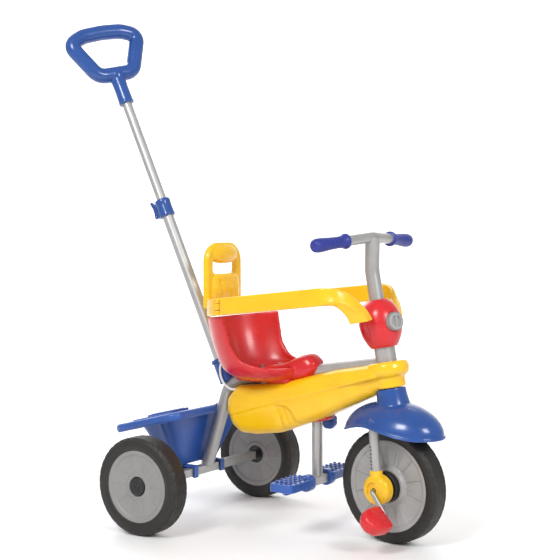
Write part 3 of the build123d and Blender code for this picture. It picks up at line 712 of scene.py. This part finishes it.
def lock_knob():
    """Grey knob with two pockets beside its grip bar, in a bezel on the ball."""
    ring = lathe(rounded([(17.2, -4.5), (18.5, -4.5), (18.5, 2.6), (17.2, 2.2)], [0.3, 0.3, 0.6, 0.5]), 96)
    back = lathe([(0, -8.5), (18.4, -8.5), (18.4, -5.2), (0, -5.2)], 64)
    obj = make("ring", knob_place(together(ring, back)), True)
    finished(obj, "knob_bezel", "steering", "black_plastic", ("knob_base",), "grey_plastic")
    body = lathe(rounded([(0, -4), (16.9, -4), (16.9, 2.8), (15.0, 4.3), (0, 5.0)], [0, 0.5, 1.2, 2, 0]), 96)
    obj = make("knob", knob_place(body), True)
    pocket = np.array([(2.2, -11.5), (8, -9.5), (12.2, 0), (8, 9.5), (2.2, 11.5)])
    pockets = [knob_place(side_plate(rounded(pocket * (way, 1), [1, 5, 6, 5, 1]), 1.2, 9.0))
               for way in (-1, 1)]
    cut(obj, *pockets, turned=True)
    bevel(obj, 0.5)
    finished(obj, "lock_knob_face", "lock_knob", "grey_plastic", ("lock_knob",), "front_grey")


def bevel(obj, width, segments=2):
    """Fine rounding on an object's sharp edges."""
    modifier = obj.modifiers.new("bevel", "BEVEL")
    modifier.width = width * MM
    modifier.segments = segments
    modifier.limit_method = "ANGLE"
    modifier.angle_limit = np.radians(35)
    return settle(obj)


def bar_ways(side):
    """Axes of one end of the handlebar: across it, along it and the third."""
    level = np.cos(BAR_DROOP)
    way = np.array((-np.sin(BAR_SWEEP) * level, side * np.cos(BAR_SWEEP) * level, -np.sin(BAR_DROOP)))
    across = np.cross(way, (0, 0, 1))
    across /= np.linalg.norm(across)
    return across, way, np.cross(across, way)


def grips():
    """Moulded grips: a flange, a waist, a swelling palm with fine rings and a rounded end."""
    length = GRIP_END - GRIP_START
    outer = curve([(15.2, 2.0), (15.2, 5.5), (13.2, 10), (12.0, 15), (11.8, 32), (12.6, 48), (13.8, 64),
                   (13.9, length - 14), (12.4, length - 5), (8.0, length - 0.8), (0.2, length)], 8)
    profile = np.vstack([[(0, 0), (14, 0), (14.9, 0.8)], outer])

    def rings(r, h, angle):
        palm = step(h, 19, 22) * (1 - step(h, length - 22, length - 18))
        return -0.45 * bump((h % 7.0) - 3.5, 0.8) * palm, 0.0
    grip = lathe(profile, 64, relief=rings)
    solids = [placed(grip, BAR_T + bar_ways(side)[1] * GRIP_START, *bar_ways(side)) for side in (1, -1)]
    finished(make("grips", together(*solids), True), "moulded_grips", "steering", "blue", ("grips",),
             "grip_blue")


MUD_MIDDLE = np.array((460.0, 0.0, 219.0))
MUD_SIZE = np.array((110.0, 69.5, 63.5))
MUD_WALL = 3.2
MUD_NECK = -116                     # place of the mudguard's neck on the steering axis
MUD_LIP = [(-112, 218), (-92, 222), (-72, 229), (-50, 235), (-30, 237.5), (-8, 236), (20, 229.5), (50, 222.5),
           (80, 218), (112, 217)]


def lip_height(x):
    """Height of the mudguard's wavy lip."""
    lip = np.array(MUD_LIP, float)
    return np.interp(x - MUD_MIDDLE[0], lip[:, 0], lip[:, 1])


def dome(inset):
    """Sections of the mudguard's dome from its lip to its top, following the lip's wave."""
    sections = []
    size = MUD_SIZE - inset
    angle = 2 * np.pi * np.arange(160) / 160
    for lift in np.linspace(0, 1, 26):
        x, y = np.cos(angle), np.sin(angle)
        low = lip_height(MUD_MIDDLE[0] + size[0] * x * 0.98) - MUD_MIDDLE[2]
        start = np.arcsin(np.clip(low / size[2], -0.9, 0.9))
        tilt = start + (np.pi / 2 - start) * np.minimum(lift, 0.985)
        sections.append(np.stack([MUD_MIDDLE[0] + size[0] * x * np.cos(tilt), size[1] * y * np.cos(tilt),
                                  MUD_MIDDLE[2] + size[2] * np.sin(tilt)], 1))
    return sections


def mudguard():
    """Blue dome over the front wheel with a beaded, wavy lip, side pads and a flared neck."""
    outer, inner = dome(0), dome(MUD_WALL)
    count = len(outer[0])
    points, faces = loft(outer + inner[::-1])
    ends = len(points) - count
    joined = [(i, (i + 1) % count, ends + (i + 1) % count, ends + i) for i in range(count)]
    shell = points, faces[:-2] + joined
    lip = tube(outer[0], 2.6, 12, True)
    flare = curve([(48, -12), (40, -5), (35, 3), (32.3, 14), (30.6, 27), (29.6, 40)], 6)
    neck = on_head(along_y(lathe(np.vstack([flare, [(20, 40), (20, -4), (30, -12)]]), 96)), MUD_NECK)
    angle = 2 * np.pi * np.arange(24) / 24
    oval = np.column_stack([7 * np.cos(angle), 9 * np.sin(angle)])
    levels = ((54, 1.0), (61.5, 0.9), (64.5, 0.4))
    pad = upright(loft([at_height(oval * r + (449, 246), y) for y, r in levels]))
    obj = make("mudguard", shell)
    for part in (lip, neck, both(pad)):
        merge(obj, make("part", part))
    melt(obj, 1.3, 4)
    cut(obj, on_head(along_y(lathe(corners(0, 19.5, -30, 70), 64)), MUD_NECK))
    reshape(obj, steered)
    finished(obj, "mudguard_shell", "steering", "blue", ("mudguard",), "deep_blue")


def merge(obj, other):
    """Adds another object's mesh to this one."""
    work = bmesh.new()
    work.from_mesh(obj.data)
    work.from_mesh(other.data)
    work.to_mesh(obj.data)
    work.free()
    bpy.data.objects.remove(other)
    return obj


def hub_cover(tag, side):
    """Yellow cover on the fork's foot, with a collar and a slot for the crank."""
    disc = lathe(rounded([(5, 39.8), (30, 39.8), (30, 58), (25, 63.5), (14, 65.2), (5, 65.2)],
                         [0.5, 2, 6, 5, 2, 0.5]), 96)
    collar = tube(np.linspace((454.5, 50, FRONT_R + 10), (452.4, 50, FRONT_R + 37), 8),
                  [13, 13, 12.8, 12.6, 12.6, 12.6, 12.8, 12.2], 32)
    obj = make("cover", together(moved(disc, (WHEELBASE, 0, FRONT_R)), collar))
    slot_line = [(np.sin(a) * 11.5 - 2, np.cos(a) * 11.5) for a in np.radians(np.linspace(-125, 20, 12))]
    bean = tube([(WHEELBASE + x, 64.5, FRONT_R + z) for x, z in slot_line], 4.6, 16)
    melt(obj, 0.9, 4)
    cut(obj, bean)
    if side < 0:
        obj.data.transform(Matrix.Scale(-1, 4, Vector((0, 1, 0))))
        clean(obj)
    reshape(obj, steered)
    finished(obj, "fork_foot_cover_" + tag, "steering", "yellow", ("hub_cover_" + tag,))


def fork_slots():
    """A ladder of small black bars low on the rear of each fork blade: painted shade standing in for the dark
    insides of the height slots.
    """
    bar = plate(rounded(corners(-2.4, 2.4, -1.3, 1.3), 0.9, 3), -1.0, 0.5, 0.3, 2)
    bars = []
    for i in range(7):
        z = FRONT_R + 42 + 7.0 * i
        x = 454.5 - (z - FRONT_R - 9) * 0.062
        for side in (1, -1):
            out = np.array((-0.40, side * 0.917, 0))
            across = np.cross((0, 0, 1), out)
            foot = np.array((x, side * 50.0, z)) + out * 10.0
            bars.append(placed(bar, foot, across, (0, 0, 1), out))
    # black bars painted as the shade inside the slots
    finished(make("slots", together(*bars), True), "fork_slot_painted_shade", "steering", "black_plastic")


def pedals():
    """Rounded wedge pedals with a studded tread, each turning on its bent crank end."""
    stud = lathe(rounded([(0, -1), (1.9, -1), (1.5, 1.1), (0, 1.3)], [0, 0, 0.5, 0], 3), 12)
    plan = even(rounded([(-25, 31.3), (25, 31.3), (29, 12), (25, -16), (10, -31.3), (-10, -31.3),
                         (-25, -16), (-28, 12)], [8, 8, 20, 20, 16, 16, 20, 20], 8), 120)
    levels = [(-15, 11), (-13.8, 7), (-11, 3.6), (-6, 1.0), (1, 0), (8, 0.8), (11.8, 2.6), (13.6, 5.4)]
    body = loft([at_height(plan * (1 - inset / 29), z) for z, inset in levels])
    field = [moved(upright(stud), (6.5 * i, 7 * j + 3, 13.4))
             for i in range(-3, 4) for j in range(-3, 4) if abs(i) + max(-j, 0) < 4]
    block = together(body, *field)
    for tag, side in (("right", -1), ("left", 1)):
        joint = JOINTS["pedal_" + tag + "_spin"]
        hub = design(joint["pos_m"])
        axle = np.array(joint["axis"])
        axle = axle * side * np.sign(axle[1])
        middle = node_box("pedal_" + tag)[1]
        ahead = np.cross(axle * side, (0, 0, 1))
        x_way = ahead * np.cos(PEDAL_TILT) - np.array((0, 0, 1)) * np.sin(PEDAL_TILT)
        z_way = np.cross(x_way, axle * side)
        at = hub + axle * ((middle - hub) @ axle)
        solid = block if side < 0 else mirrored(block)
        obj = make("pedal", placed(solid, at, x_way, np.cross(z_way, x_way), z_way))
        finished(obj, "pedal_block_" + tag, "pedal_" + tag, "red", ("pedal_" + tag,))


# ---- body shell ----
SHELL = [(78, 262), (78, 238), (90, 206), (112, 190), (150, 190), (207, 198), (307, 235), (370, 265),
         (425, 291), (450, 310), (450, 354), (429, 354), (342, 338), (236, 310), (150, 296), (100, 290)]
SHELL_HALF = 38.0
SEAM = [(70, 222), (114, 232), (217, 264), (269, 277), (321, 293), (379, 309), (430, 323), (470, 334)]
SWIRL = [(200, 257), (218, 257.5), (230, 256.5), (239, 251), (245, 243), (249, 234), (255, 228), (268, 224)]
FLUTES = ([(208, 250), (216, 236), (222, 212)], [(224, 249), (231, 234), (238, 214)])


def fairing():
    """Yellow body shell in two halves with a parting line, a seam and a swirl of flutes on each side."""
    corner_radii = [14, 16, 22, 24, 30, 60, 80, 60, 10, 4, 4, 30, 90, 90, 60, 22]
    outline = even(rounded(SHELL, corner_radii, 8), 260)
    obj = make("shell", side_plate(outline, -SHELL_HALF, SHELL_HALF))
    melt(obj, 1.6, 3)
    soft = 20.0

    def crown(p):
        x, z = p[:, 0], p[:, 2]
        over_seam = z - np.interp(x, *np.array(SEAM, float).T)
        deep = np.minimum(near_line(x, z, np.vstack([outline, outline[:1]])), soft)
        full = SHELL_HALF - soft + np.sqrt(np.maximum(soft ** 2 - (soft - deep) ** 2, 0))
        upper = step(over_seam, -3, 5)
        full = full * (1 + step(x, 330, 435) * (0.14 * upper - 0.16 * (1 - upper)))
        full = full + 3.0 * bump(z - 268 - (x - 250) * 0.25, 34) - 2.5
        relief = 1.3 * bump(near_line(x, z, SEAM), 1.1)
        inside = near_line(x, z, SWIRL)
        under = step(np.interp(x, *np.array(SWIRL, float).T) - z, -1.5, 2.5) * step(x, 196, 214)
        relief += 3.0 * under * (1 - step(inside, 2, 26)) + 0.5 * bump(inside, 1.6)
        for flute in FLUTES:
            relief += 1.7 * bump(near_line(x, z, flute), 2.6)
        full = full - 1.0 * (1 - step(over_seam, 0, 3.5))
        out = p.copy()
        out[:, 1] = p[:, 1] * (full - relief * step(deep, 3, 9)) / SHELL_HALF
        return out
    reshape(obj, crown)
    nose = [(20, -74.5), (30, -74.5), (31.5, -71), (31, -60), (32, -54), (38, -51), (42, -45), (43, -37),
            (41.5, -29), (38, -23.5), (20, -22.5)]
    nose = on_head(along_y(lathe(rounded(nose, [0, 1.5, 2, 4, 3, 3, 5, 8, 8, 4, 0]), 128)))
    merge(obj, make("nose", nose))
    melt(obj, 1.3, 5)
    cut(obj, tube([HEAD + HEAD_UP * s for s in (-110, -60, 0, 40)], 21.2, 48))
    left, right = halves(obj, "body_shell_left", "body_shell_right", (0, 0, 0), (0, 1, 0))
    finished(left, "body_shell_left", "frame", "yellow", ("fairing_left",))
    finished(right, "body_shell_right", "frame", "yellow", ("fairing_right",))


# ---- seat ----
BOWL = [(306, 50, 163), (308, 62, 163), (314, 76, 163), (322, 87, 162), (334, 95, 160), (360, 102, 155),
        (391, 107, 150), (425, 110, 145), (462, 112, 141)]


def bowl(inset, lift):
    """Bowl sections from the floor up; they widen and lean back."""
    levels = curve(BOWL, 6)
    sections = []
    angle = 2 * np.pi * np.arange(144) / 144
    for z, radius, x in levels:
        r = max(radius - inset, 4)
        ring = np.column_stack([x + r * np.cos(angle), 0.98 * r * np.sin(angle)])
        sections.append(at_height(ring, z + lift))
    return loft(sections)


def seat():
    """Moulded bucket seat with low wings, a rolled edge and a bulbous pommel."""
    obj = make("seat", bowl(0, 0))
    cut(obj, bowl(6.5, 7))
    front = rounded([(320, 540), (120, 540), (124, 430), (136, 378), (156, 350), (200, 337), (320, 336)],
                    [0, 0, 40, 40, 40, 40, 0], 8)
    top = RING_LOW - 2.0
    above = [(0, top), (320, top + 320 * RING_RISE), (320, 560), (0, 560)]
    cut(obj, side_plate(front, -160, 160))
    cut(obj, side_plate(above, -160, 160))
    back = 176
    profile = rounded([(back, 309), (246, 307), (278, 316), (294, 334), (293, 352), (276, 366), (254, 362),
                       (222, 346), (back, 336)], [4, 20, 22, 16, 14, 16, 30, 40, 4], 8)
    profile = even(profile, 90)
    anchor = np.array((back, profile[:, 1].mean()))
    sections = []
    for y in np.linspace(-1, 1, 25):
        width = np.sqrt(max(1 - abs(y) ** 2.6, 0.02))
        squeezed = anchor + (profile - anchor) * (0.80 + 0.20 * width, 0.25 + 0.75 * width)
        sections.append(at_height(squeezed, 29.5 * y))
    merge(obj, make("pommel", upright(loft(sections))))
    saddle = rounded([(100, -38), (236, -33), (236, 33), (100, 38)], 14)
    merge(obj, make("saddle", plate(saddle, 302, 331, 6)))
    melt(obj, 1.7, 10)
    finished(obj, "seat_bucket", "frame", "red", ("seat",))


# ---- backrest and safety ring ----
def ring_z(x):
    """Height of the ring's lower edge."""
    return RING_LOW + x * RING_RISE


def bar_shape(thick):
    """A rounded upright bar in section: depth from its outer face, and height."""
    points = [(0, 0), (0, RING_TALL), (thick, RING_TALL), (thick, 0)]
    return even(rounded(points, min(3.4, thick * 0.4), 4), 56)


def band_section(x, y, inward):
    """One section of the safety ring, its outer face at (x, y)."""
    depth, tall = bar_shape(RING_T).T
    return np.column_stack([x + inward[0] * depth, y + inward[1] * depth, ring_z(x) + tall])


def ring_arc(start, end, count):
    """Sections of the ring's round part between two angles."""
    return [band_section(RING_X + RING_R * np.sin(a), RING_R * np.cos(a), (-np.sin(a), -np.cos(a)))
            for a in np.linspace(start, end, count)]


def backrest():
    """Rounded band with a tall moulding over it: an arch round a hand hole, a head pad and a cushion."""
    ends = np.arcsin((PIVOT_X - HINGE_ROOM - RING_X) / RING_R)
    sections = ring_arc(ends, -np.pi - ends, 90)
    outline = rounded([(-64, 452), (-64, 592), (64, 592), (64, 452)], [3, 42, 42, 3], 12)
    window = rounded(corners(-44, 44, 525, 560), [9, 9, 12, 12], 6)
    obj = make("panel", front_plate(even(outline, 160), 40, 55, 6.5))
    cut(obj, front_plate(window, 0, 80))
    pad, cushion = [], []
    angle = 2 * np.pi * np.arange(64) / 64
    for lift in np.linspace(-1, 1, 22):
        size = np.sqrt(max(1 - lift * lift, 0.01))
        oval = np.sign(np.cos(angle)) * np.abs(np.cos(angle)) ** 0.7
        pad.append(np.column_stack([49 + 15 * lift + 0 * angle, 48 * size * oval,
                                    567 + 21 * size * np.sin(angle)]))
    arch = rounded([(46, 470), (63, 470), (68, 492), (61, 524), (46, 527)], [0, 6, 30, 12, 6], 6)
    for y in np.linspace(-1, 1, 31):
        size = max(1 - abs(y) ** 4.0, 0.02) ** 0.5
        cushion.append(at_height((46, 470) + (arch - (46, 470)) * (size, 0.75 + 0.25 * size), 53 * y))
    eyes = [knuckle(11.2, 24.8, side) for side in (1, -1)]
    for part in (loft(pad), upright(loft(cushion)), loft(sections), *eyes):
        merge(obj, make("part", part))
    melt(obj, 1.5, 7)

    def creases(p):
        out = p.copy()
        fade = step(p[:, 0], 50, 56) * step(p[:, 2], 474, 484) * (1 - step(p[:, 2], 506, 519))
        for y in (-23, 23):
            lean = y + np.sign(y) * (p[:, 2] - 480) * 0.12
            out[:, 0] -= 3.0 * fade * bump(p[:, 1] - lean, 5)
        return out
    reshape(obj, creases)
    finished(obj, "backrest_moulding", "frame", "yellow", ("backrest",))


def knuckle(low, high, sign):
    """A hinge knuckle on one pin."""
    base = ring_z(PIVOT_X)
    eye = along_y(lathe(rounded(corners(0, 6.4, low, high), [0, 1.0, 1.0, 0]), 40))
    return moved(eye, (PIVOT_X, sign * PIVOT_Y, base))


TIP_TOP = [(345, 128, 504.8), (358, 127.3, 506.2), (372, 124.5, 507), (394, 112, 505), (412, 94, 496),
           (424, 77, 481), (434.5, 62, 464), (441.5, 53, 447)]
TIP_LOW = [(345, 128, 468.8), (358, 127.5, 470.4), (372, 126, 472), (390, 118.5, 472.5), (399, 110, 467),
           (406, 102, 457.5), (411, 96, 448), (413.5, 92.5, 438.5)]


def arm(tag, side):
    """Hinged arm: a straight bar that turns in, twists and drops to a tip with a folded-under face."""
    sections = ring_arc(np.arcsin((PIVOT_X + HINGE_ROOM - RING_X) / RING_R), 0, 16)
    sections += [band_section(x, RING_R, (0, -1)) for x in np.linspace(RING_X, 345, 24)[1:-1]]
    tops, lows = curve(TIP_TOP, 9), curve(TIP_LOW, 9)
    way = np.gradient((tops + lows) / 2, axis=0)
    for i, (high, low) in enumerate(zip(tops, lows)):
        share = i / (len(tops) - 1)
        inward = np.cross(way[i], high - low)
        inward /= np.linalg.norm(inward)
        blend = step(share, 0, 0.22)
        inward = inward * blend + np.array((0, -1, 0)) * (1 - blend)
        inward /= np.linalg.norm(inward)
        thick = RING_T - 4.2 * share
        depth, tall = bar_shape(thick).T
        fold = 0.03 + 0.62 * step(share, 0.10, 1.0)
        level = tall / RING_TALL
        ridge = np.clip(np.where(level < fold, level / fold, (1 - level) / (1 - fold)), 0, 1)
        depth = depth - 12.0 * step(share, 0.08, 0.75) * ridge * (depth < thick / 2)
        sections.append(low + np.outer(level, high - low) + np.outer(depth, inward))
    last = sections[-1]
    middle = last.mean(0)
    ahead = middle - sections[-2].mean(0)
    ahead /= np.linalg.norm(ahead)
    for turn in np.radians((30, 60, 80)):
        sections.append(middle + (last - middle) * (0.9 + 0.1 * np.cos(turn)) + ahead * 2.4 * np.sin(turn))
    solid = loft(sections)
    obj = make("arm", solid if side > 0 else mirrored(solid))
    for low, high in ((0.3, 10.3), (25.7, RING_TALL - 0.3)):
        merge(obj, make("part", knuckle(low, high, side)))
    melt(obj, 1.1, 2)
    finished(obj, "ring_arm_" + tag, "arm_" + tag, "yellow", ("arm_" + tag,))


# ---- rear bucket ----
BUCKET_FRONT = np.array((42.0, 0.0, 245.0))
BUCKET_TILT = np.radians(14.0)


def on_bucket(solid):
    """From local axes, z up from the rim and x forward, to the design's frame."""
    way = np.array((np.cos(BUCKET_TILT), 0, np.sin(BUCKET_TILT)))
    return placed(solid, BUCKET_FRONT, way, (0, 1, 0), np.cross(way, (0, 1, 0)))


def bucket_outline(x0, x1, half, radius, steps, count):
    """A rounded rectangle, the same on both sides of the middle."""
    return even(rounded(corners(x0, x1, -half, half), radius, steps), count)


def bucket():
    """Tapered bucket with a deep rolled rim, panels on its sides and hooks over the axle beam."""
    rim = bucket_outline(-178, 0, 160, 28, 10, 240)
    under = bucket_outline(-173.5, -4.5, 155.5, 24, 8, 160)
    obj = make("bucket", on_bucket(plate(rim, -19, 0.5, 7, 6)))
    cut(obj, on_bucket(plate(under, -40, -4.2)))
    foot = at_height(bucket_outline(-54, -14, 68, 12, 6, 160), WHEEL_R + 14.5)
    top = on_bucket((at_height(bucket_outline(-126, -20, 141, 24, 6, 160), -2), []))[0]
    merge(obj, make("body", loft([foot + (top - foot) * t for t in np.linspace(0, 1, 12)])))
    panels = []
    for side in (-1, 1):
        low = at_height(even(rounded(corners(-46, -24, 0, 9), 3), 40), WHEEL_R + 16)
        low[:, 1] = side * (62 + low[:, 1])
        high = low.copy()
        high[:, 0] = -50 + (low[:, 0] + 35) * 1.7 + 18
        high[:, 1] = low[:, 1] + side * 70
        high[:, 2] = 226
        panels.append(loft([low, high]))
    merge(obj, make("panels", together(*panels)))
    melt(obj, 1.7, 3)
    hollow_foot = at_height(bucket_outline(-50.5, -17.5, 64.5, 9, 6, 160), WHEEL_R + 18.5)
    hollow_top = on_bucket((at_height(bucket_outline(-122, -24, 137, 21, 6, 160), 6), []))[0]
    cut(obj, loft([hollow_foot, hollow_top]))
    cut(obj, on_bucket(plate(rounded(corners(-17, 8, -18, 18), [9, 0, 0, 9]), -60, 10)))
    melt(obj, 1.5, 3)
    finished(obj, "bucket_shell", "frame", "blue", ("bucket",))
    ribs = []
    for i in range(11):
        x = -121 + 9.5 * i
        bar = plate(rounded(corners(x, x + 5.5, -4.5, 4.5), 1.4, 3), -2, 2.6, 1.2, 3)
        ribs += [on_bucket(moved(bar, (0, y, 0))) for y in (-147.5, 147.5)]
    ribs.append(on_bucket(plate(rounded(corners(-160, -131, -60, 60), 7), -1, 6.8, 2.2)))
    dash = plate(rounded(corners(-154, -137, -3, 3), 2, 3), 5.5, 8.0, 0.8, 2)
    ribs += [on_bucket(moved(dash, (0, -48 + 12 * i, 0))) for i in range(9)]
    finished(make("ribs", together(*ribs)), "bucket_tread_ribs", "frame", "blue", ("bucket_ribs",))
    top = WHEEL_R + 9
    line = rounded([(-52, top + 0.2), (9.3, top + 0.2), (9.3, top - 21), (13.4, top - 21),
                    (13.4, top + 5.2), (-52, top + 5.2)], [0.5, 0.8, 0.8, 1.8, 4, 0.5])
    finished(make("hooks", both(side_plate(line, 41, 55, 1.0))), "bucket_hooks", "frame", "blue",
             ("bucket_clips",))


# ---- push pole ----
def pole_fittings():
    """Blue socket, pale strap, clamp collar with its cam lever."""
    obj = soften("pole_socket", 0.8, 6)
    finished(obj, "pole_base_socket", "frame", "blue", ("pole_socket",), "deep_blue")
    line = curve([(58, -17, 337), (56, -20.5, 326), (59, -23, 308), (66, -24, 295), (76, -24.5, 286),
                  (90, -25, 281), (103, -27, 283)], 8)
    strap = tube(line, 2.5, 14)
    eye = lathe(rounded([(2.2, -3), (6, -3), (6, 3), (2.2, 3)], 1.0, 4), 32)
    stud = lathe(rounded([(0, -4), (3.6, -4), (3.6, 4), (0, 4)], [0, 1, 1, 0], 4), 24)
    parts = together(strap, moved(together(eye, stud), (58, -19.5, 341)))
    finished(make("strap", parts), "pole_safety_strap", "frame", "white_plastic", ("socket_clip",))
    collar = [(12.6, -22), (16.4, -22), (17.6, -19.5), (17.0, -15), (16.6, 4), (17.4, 13), (16.4, 18),
              (11.2, 18.4), (11.2, -4), (12.6, -4.2)]
    body = along_y(lathe(rounded(collar, [0.3, 1.2, 1.5, 2, 3, 2, 1.5, 0.5, 0.3, 0.3]), 72))
    ear = rounded([(-28, -18), (-12, -18), (-12, -5), (-28, -6)], [5, 0, 0, 5])
    ears = [side_plate(ear, y, y + 4, 1) for y in (-9.8, 5.8)]
    obj = make("collar", on_pole(together(body, *ears), CLAMP_T))
    melt(obj, 0.8, 3)
    finished(obj, "clamp_collar_body", "frame", "blue", ("clamp_collar",), "deep_blue")
    shape = rounded([(-18.4, -16.5), (-27, -17), (-30, -8), (-28.5, 8), (-32, 23), (-28, 25), (-22.5, 17),
                     (-18.4, 14)], [2, 5, 6, 10, 2, 2, 8, 2])
    obj = make("lever", on_pole(side_plate(shape, -5.1, 5.1, 1.5), CLAMP_T))
    finished(obj, "clamp_cam_lever", "clamp_lever", "blue", ("clamp_lever",), "deep_blue")


def push_handle():
    """Loop handle in two halves with a long neck and a foot collar."""
    bends = [(-42, 75), (-84, 162), (-46, 178), (0, 181), (46, 178), (84, 162), (42, 75)]
    line = even(rounded(bends, [28, 22, 60, 200, 60, 22, 28], 10), 160)
    loop = tube(np.column_stack([np.zeros(160), line]), 17.4, 40, True)
    neck = rounded([(0, 0), (17.4, 0), (17.2, 4), (16.4, 7), (15.9, 40), (17, 62), (20, 74), (0, 80)],
                   [0, 1.2, 1.2, 2, 12, 12, 8, 0])
    obj = make("handle", on_pole(together(loop, along_y(lathe(neck, 72))), NECK_T, HANDLE_TURN))
    melt(obj, 1.3, 9)
    cut(obj, on_pole(along_y(lathe(corners(0, 10.97, -20, 84), 64)), NECK_T))
    out = pole_out(HANDLE_TURN)
    front, rear = halves(obj, "push_handle_front", "push_handle_rear", NECK, out, 0.3)
    finished(front, "push_handle_front", "handle", "blue", ("handle_front",), "deep_blue")
    finished(rear, "push_handle_rear", "handle", "blue", ("handle_rear",), "deep_blue")


# ---- foot rest ----
def footrest():
    """Folding blue pads with a raised tread, red sleeve and a lobed hand knob."""
    stud = along_y(lathe(rounded([(0, -4), (3.4, -4), (2.6, -1.0), (0, -0.7)], [0, 0, 1, 0], 3), 20))
    for tag in ("left", "right"):
        obj = soften("footpad_" + tag, 1.0, 5)
        low, _, high = node_box("footpad_" + tag)
        spots = [(x, y, high[2]) for x in np.linspace(low[0] + 10, high[0] - 10, 4)
                 for y in np.linspace(low[1] + 16, high[1] - 16, 5)]
        merge(obj, make("studs", together(*[moved(stud, spot) for spot in spots])))
        finished(obj, "foot_pad_" + tag, "footpad_" + tag, "blue", ("footpad_" + tag,))
    shape = rounded([(268, 223), (286, 226), (318, 233), (316, 239), (304, 251), (270, 234)],
                    [3, 6, 3, 3, 5, 3])
    obj = make("sleeve", side_plate(even(shape, 80), -15, 15, 2.5))
    melt(obj, 1.0, 3)
    finished(obj, "footrest_collar", "frame", "red", ("footrest_sleeve",))
    _, middle, high = node_box("footrest_knob")
    out = high[1]

    def lobes(r, h, angle):
        return -1.8 * bump(np.sin(angle * 4), 0.35) * step(r, 11, 16), 0.0
    outline = curve([(3.4, out - 16), (15.5, out - 15.5), (17.8, out - 11), (17.8, out - 5),
                     (14.5, out - 0.8), (0.1, out)], 6)
    profile = np.vstack([[(0, out - 46), (3.4, out - 46)], outline])
    knob = moved(lathe(profile, 128, relief=lobes), middle * (1, 0, 1))
    finished(make("knob", knob), "footrest_hand_knob", "frame", "blue", ("footrest_knob",))


PLAIN_LOOKS = {
    "painted_steel": ("frame_tube", "head_tube", "rear_axle_beam", "footrest_post", "footrest_bar",
                      "fork_crown", "fork_blades", "stem", "handlebar"),
    "chrome_pole": ("pole_lower", "pole_upper"),
    "dark_steel": ("steerer", "rear_axle", "axle_nuts", "seat_bolts", "arm_pins", "clamp_pin", "crank"),
    "black_plastic": ("axle_spacers", "head_bushes", "rear_hub_left", "rear_hub_right", "front_hub"),
}


def plain_looks():
    """Materials for the tubes, axles and bearings that need no other shape."""
    for look, nodes in PLAIN_LOOKS.items():
        for node in nodes:
            obj = frame["nodes"][node]
            obj.data.materials.clear()
            obj.data.materials.append(MATERIALS[look])


# ---- room and camera ----
CAMERA_TURN = np.radians(32.7)
CAMERA_PITCH = np.radians(87.6)
CAMERA_AT = (1.449, -2.148, 0.621)
LENS = 79.0
KEY_POWER, FRONT_POWER, FILL_POWER, WALL_POWER = 62, 40, 26, 260
SKY = 0.55


def area_light(name, spot, target, power, size, tall=None):
    """A softbox that faces its target."""
    light = bpy.data.lights.new(name, "AREA")
    light.energy = power
    light.size = size
    if tall:
        light.shape = "RECTANGLE"
        light.size_y = tall
    obj = linked(name, light)
    obj.location = spot
    obj.rotation_euler = (Vector(target) - Vector(spot)).to_track_quat("-Z", "Y").to_euler()


def room():
    """A pale floor that curves up behind, soft light from all round and three softboxes."""
    turns = np.linspace(0, np.pi / 2, 12)
    line = [(-9.0, 0.0)] + [(5.0 + 1.5 * np.sin(t), 1.5 * (1 - np.cos(t))) for t in turns] + [(6.5, 9.0)]
    mesh = bpy.data.meshes.new("floor")
    points = [(x, y, z) for y, z in line for x in (-12.0, 12.0)]
    faces = [(2 * i - 2, 2 * i - 1, 2 * i + 1, 2 * i) for i in range(1, len(line))]
    mesh.from_pydata(points, [], faces)
    floor = linked("floor", mesh)
    floor.rotation_euler = (0, 0, CAMERA_TURN)
    material, _, bsdf = shader("pale_floor")
    bsdf.inputs["Base Color"].default_value = (0.95, 0.95, 0.95, 1)
    bsdf.inputs["Roughness"].default_value = 0.60
    mesh.materials.append(material)
    world = bpy.data.worlds.new("studio")
    world.use_nodes = True
    sky = world.node_tree.nodes["Background"]
    sky.inputs["Color"].default_value = (1.0, 1.0, 1.0, 1)
    sky.inputs["Strength"].default_value = SKY
    bpy.context.scene.world = world
    middle = (cad_low + cad_high) / 2
    area_light("key", (0.2, -2.8, 2.6), middle, KEY_POWER, 0.9, 1.1)
    area_light("front", (2.9, -1.1, 2.1), middle, FRONT_POWER, 0.9, 0.9)
    area_light("fill", (-2.6, 1.2, 2.4), middle, FILL_POWER, 1.6)
    wall = Vector((-np.sin(CAMERA_TURN), np.cos(CAMERA_TURN), 0))
    area_light("wall", wall * 2.6 + Vector((0, 0, 4.2)), wall * 6.5 + Vector((0, 0, 1.2)), WALL_POWER, 3.0)


def camera():
    """The view from the right of the front wheel."""
    data = bpy.data.cameras.new("camera")
    data.lens = LENS
    data.sensor_width = 36
    data.clip_start = 0.05
    obj = linked("camera", data)
    obj.location = CAMERA_AT
    obj.rotation_euler = (CAMERA_PITCH, 0, CAMERA_TURN)
    bpy.context.scene.camera = obj


bpy.context.scene.view_settings.view_transform = "Standard"
camera()
room()
plain_looks()
wheels()
ball()
lock_knob()
grips()
mudguard()
for tag, side in (("left", 1), ("right", -1)):
    hub_cover(tag, side)
fork_slots()
pedals()
fairing()
seat()
backrest()
for tag, side in (("left", 1), ("right", -1)):
    arm(tag, side)
bucket()
pole_fittings()
push_handle()
footrest()
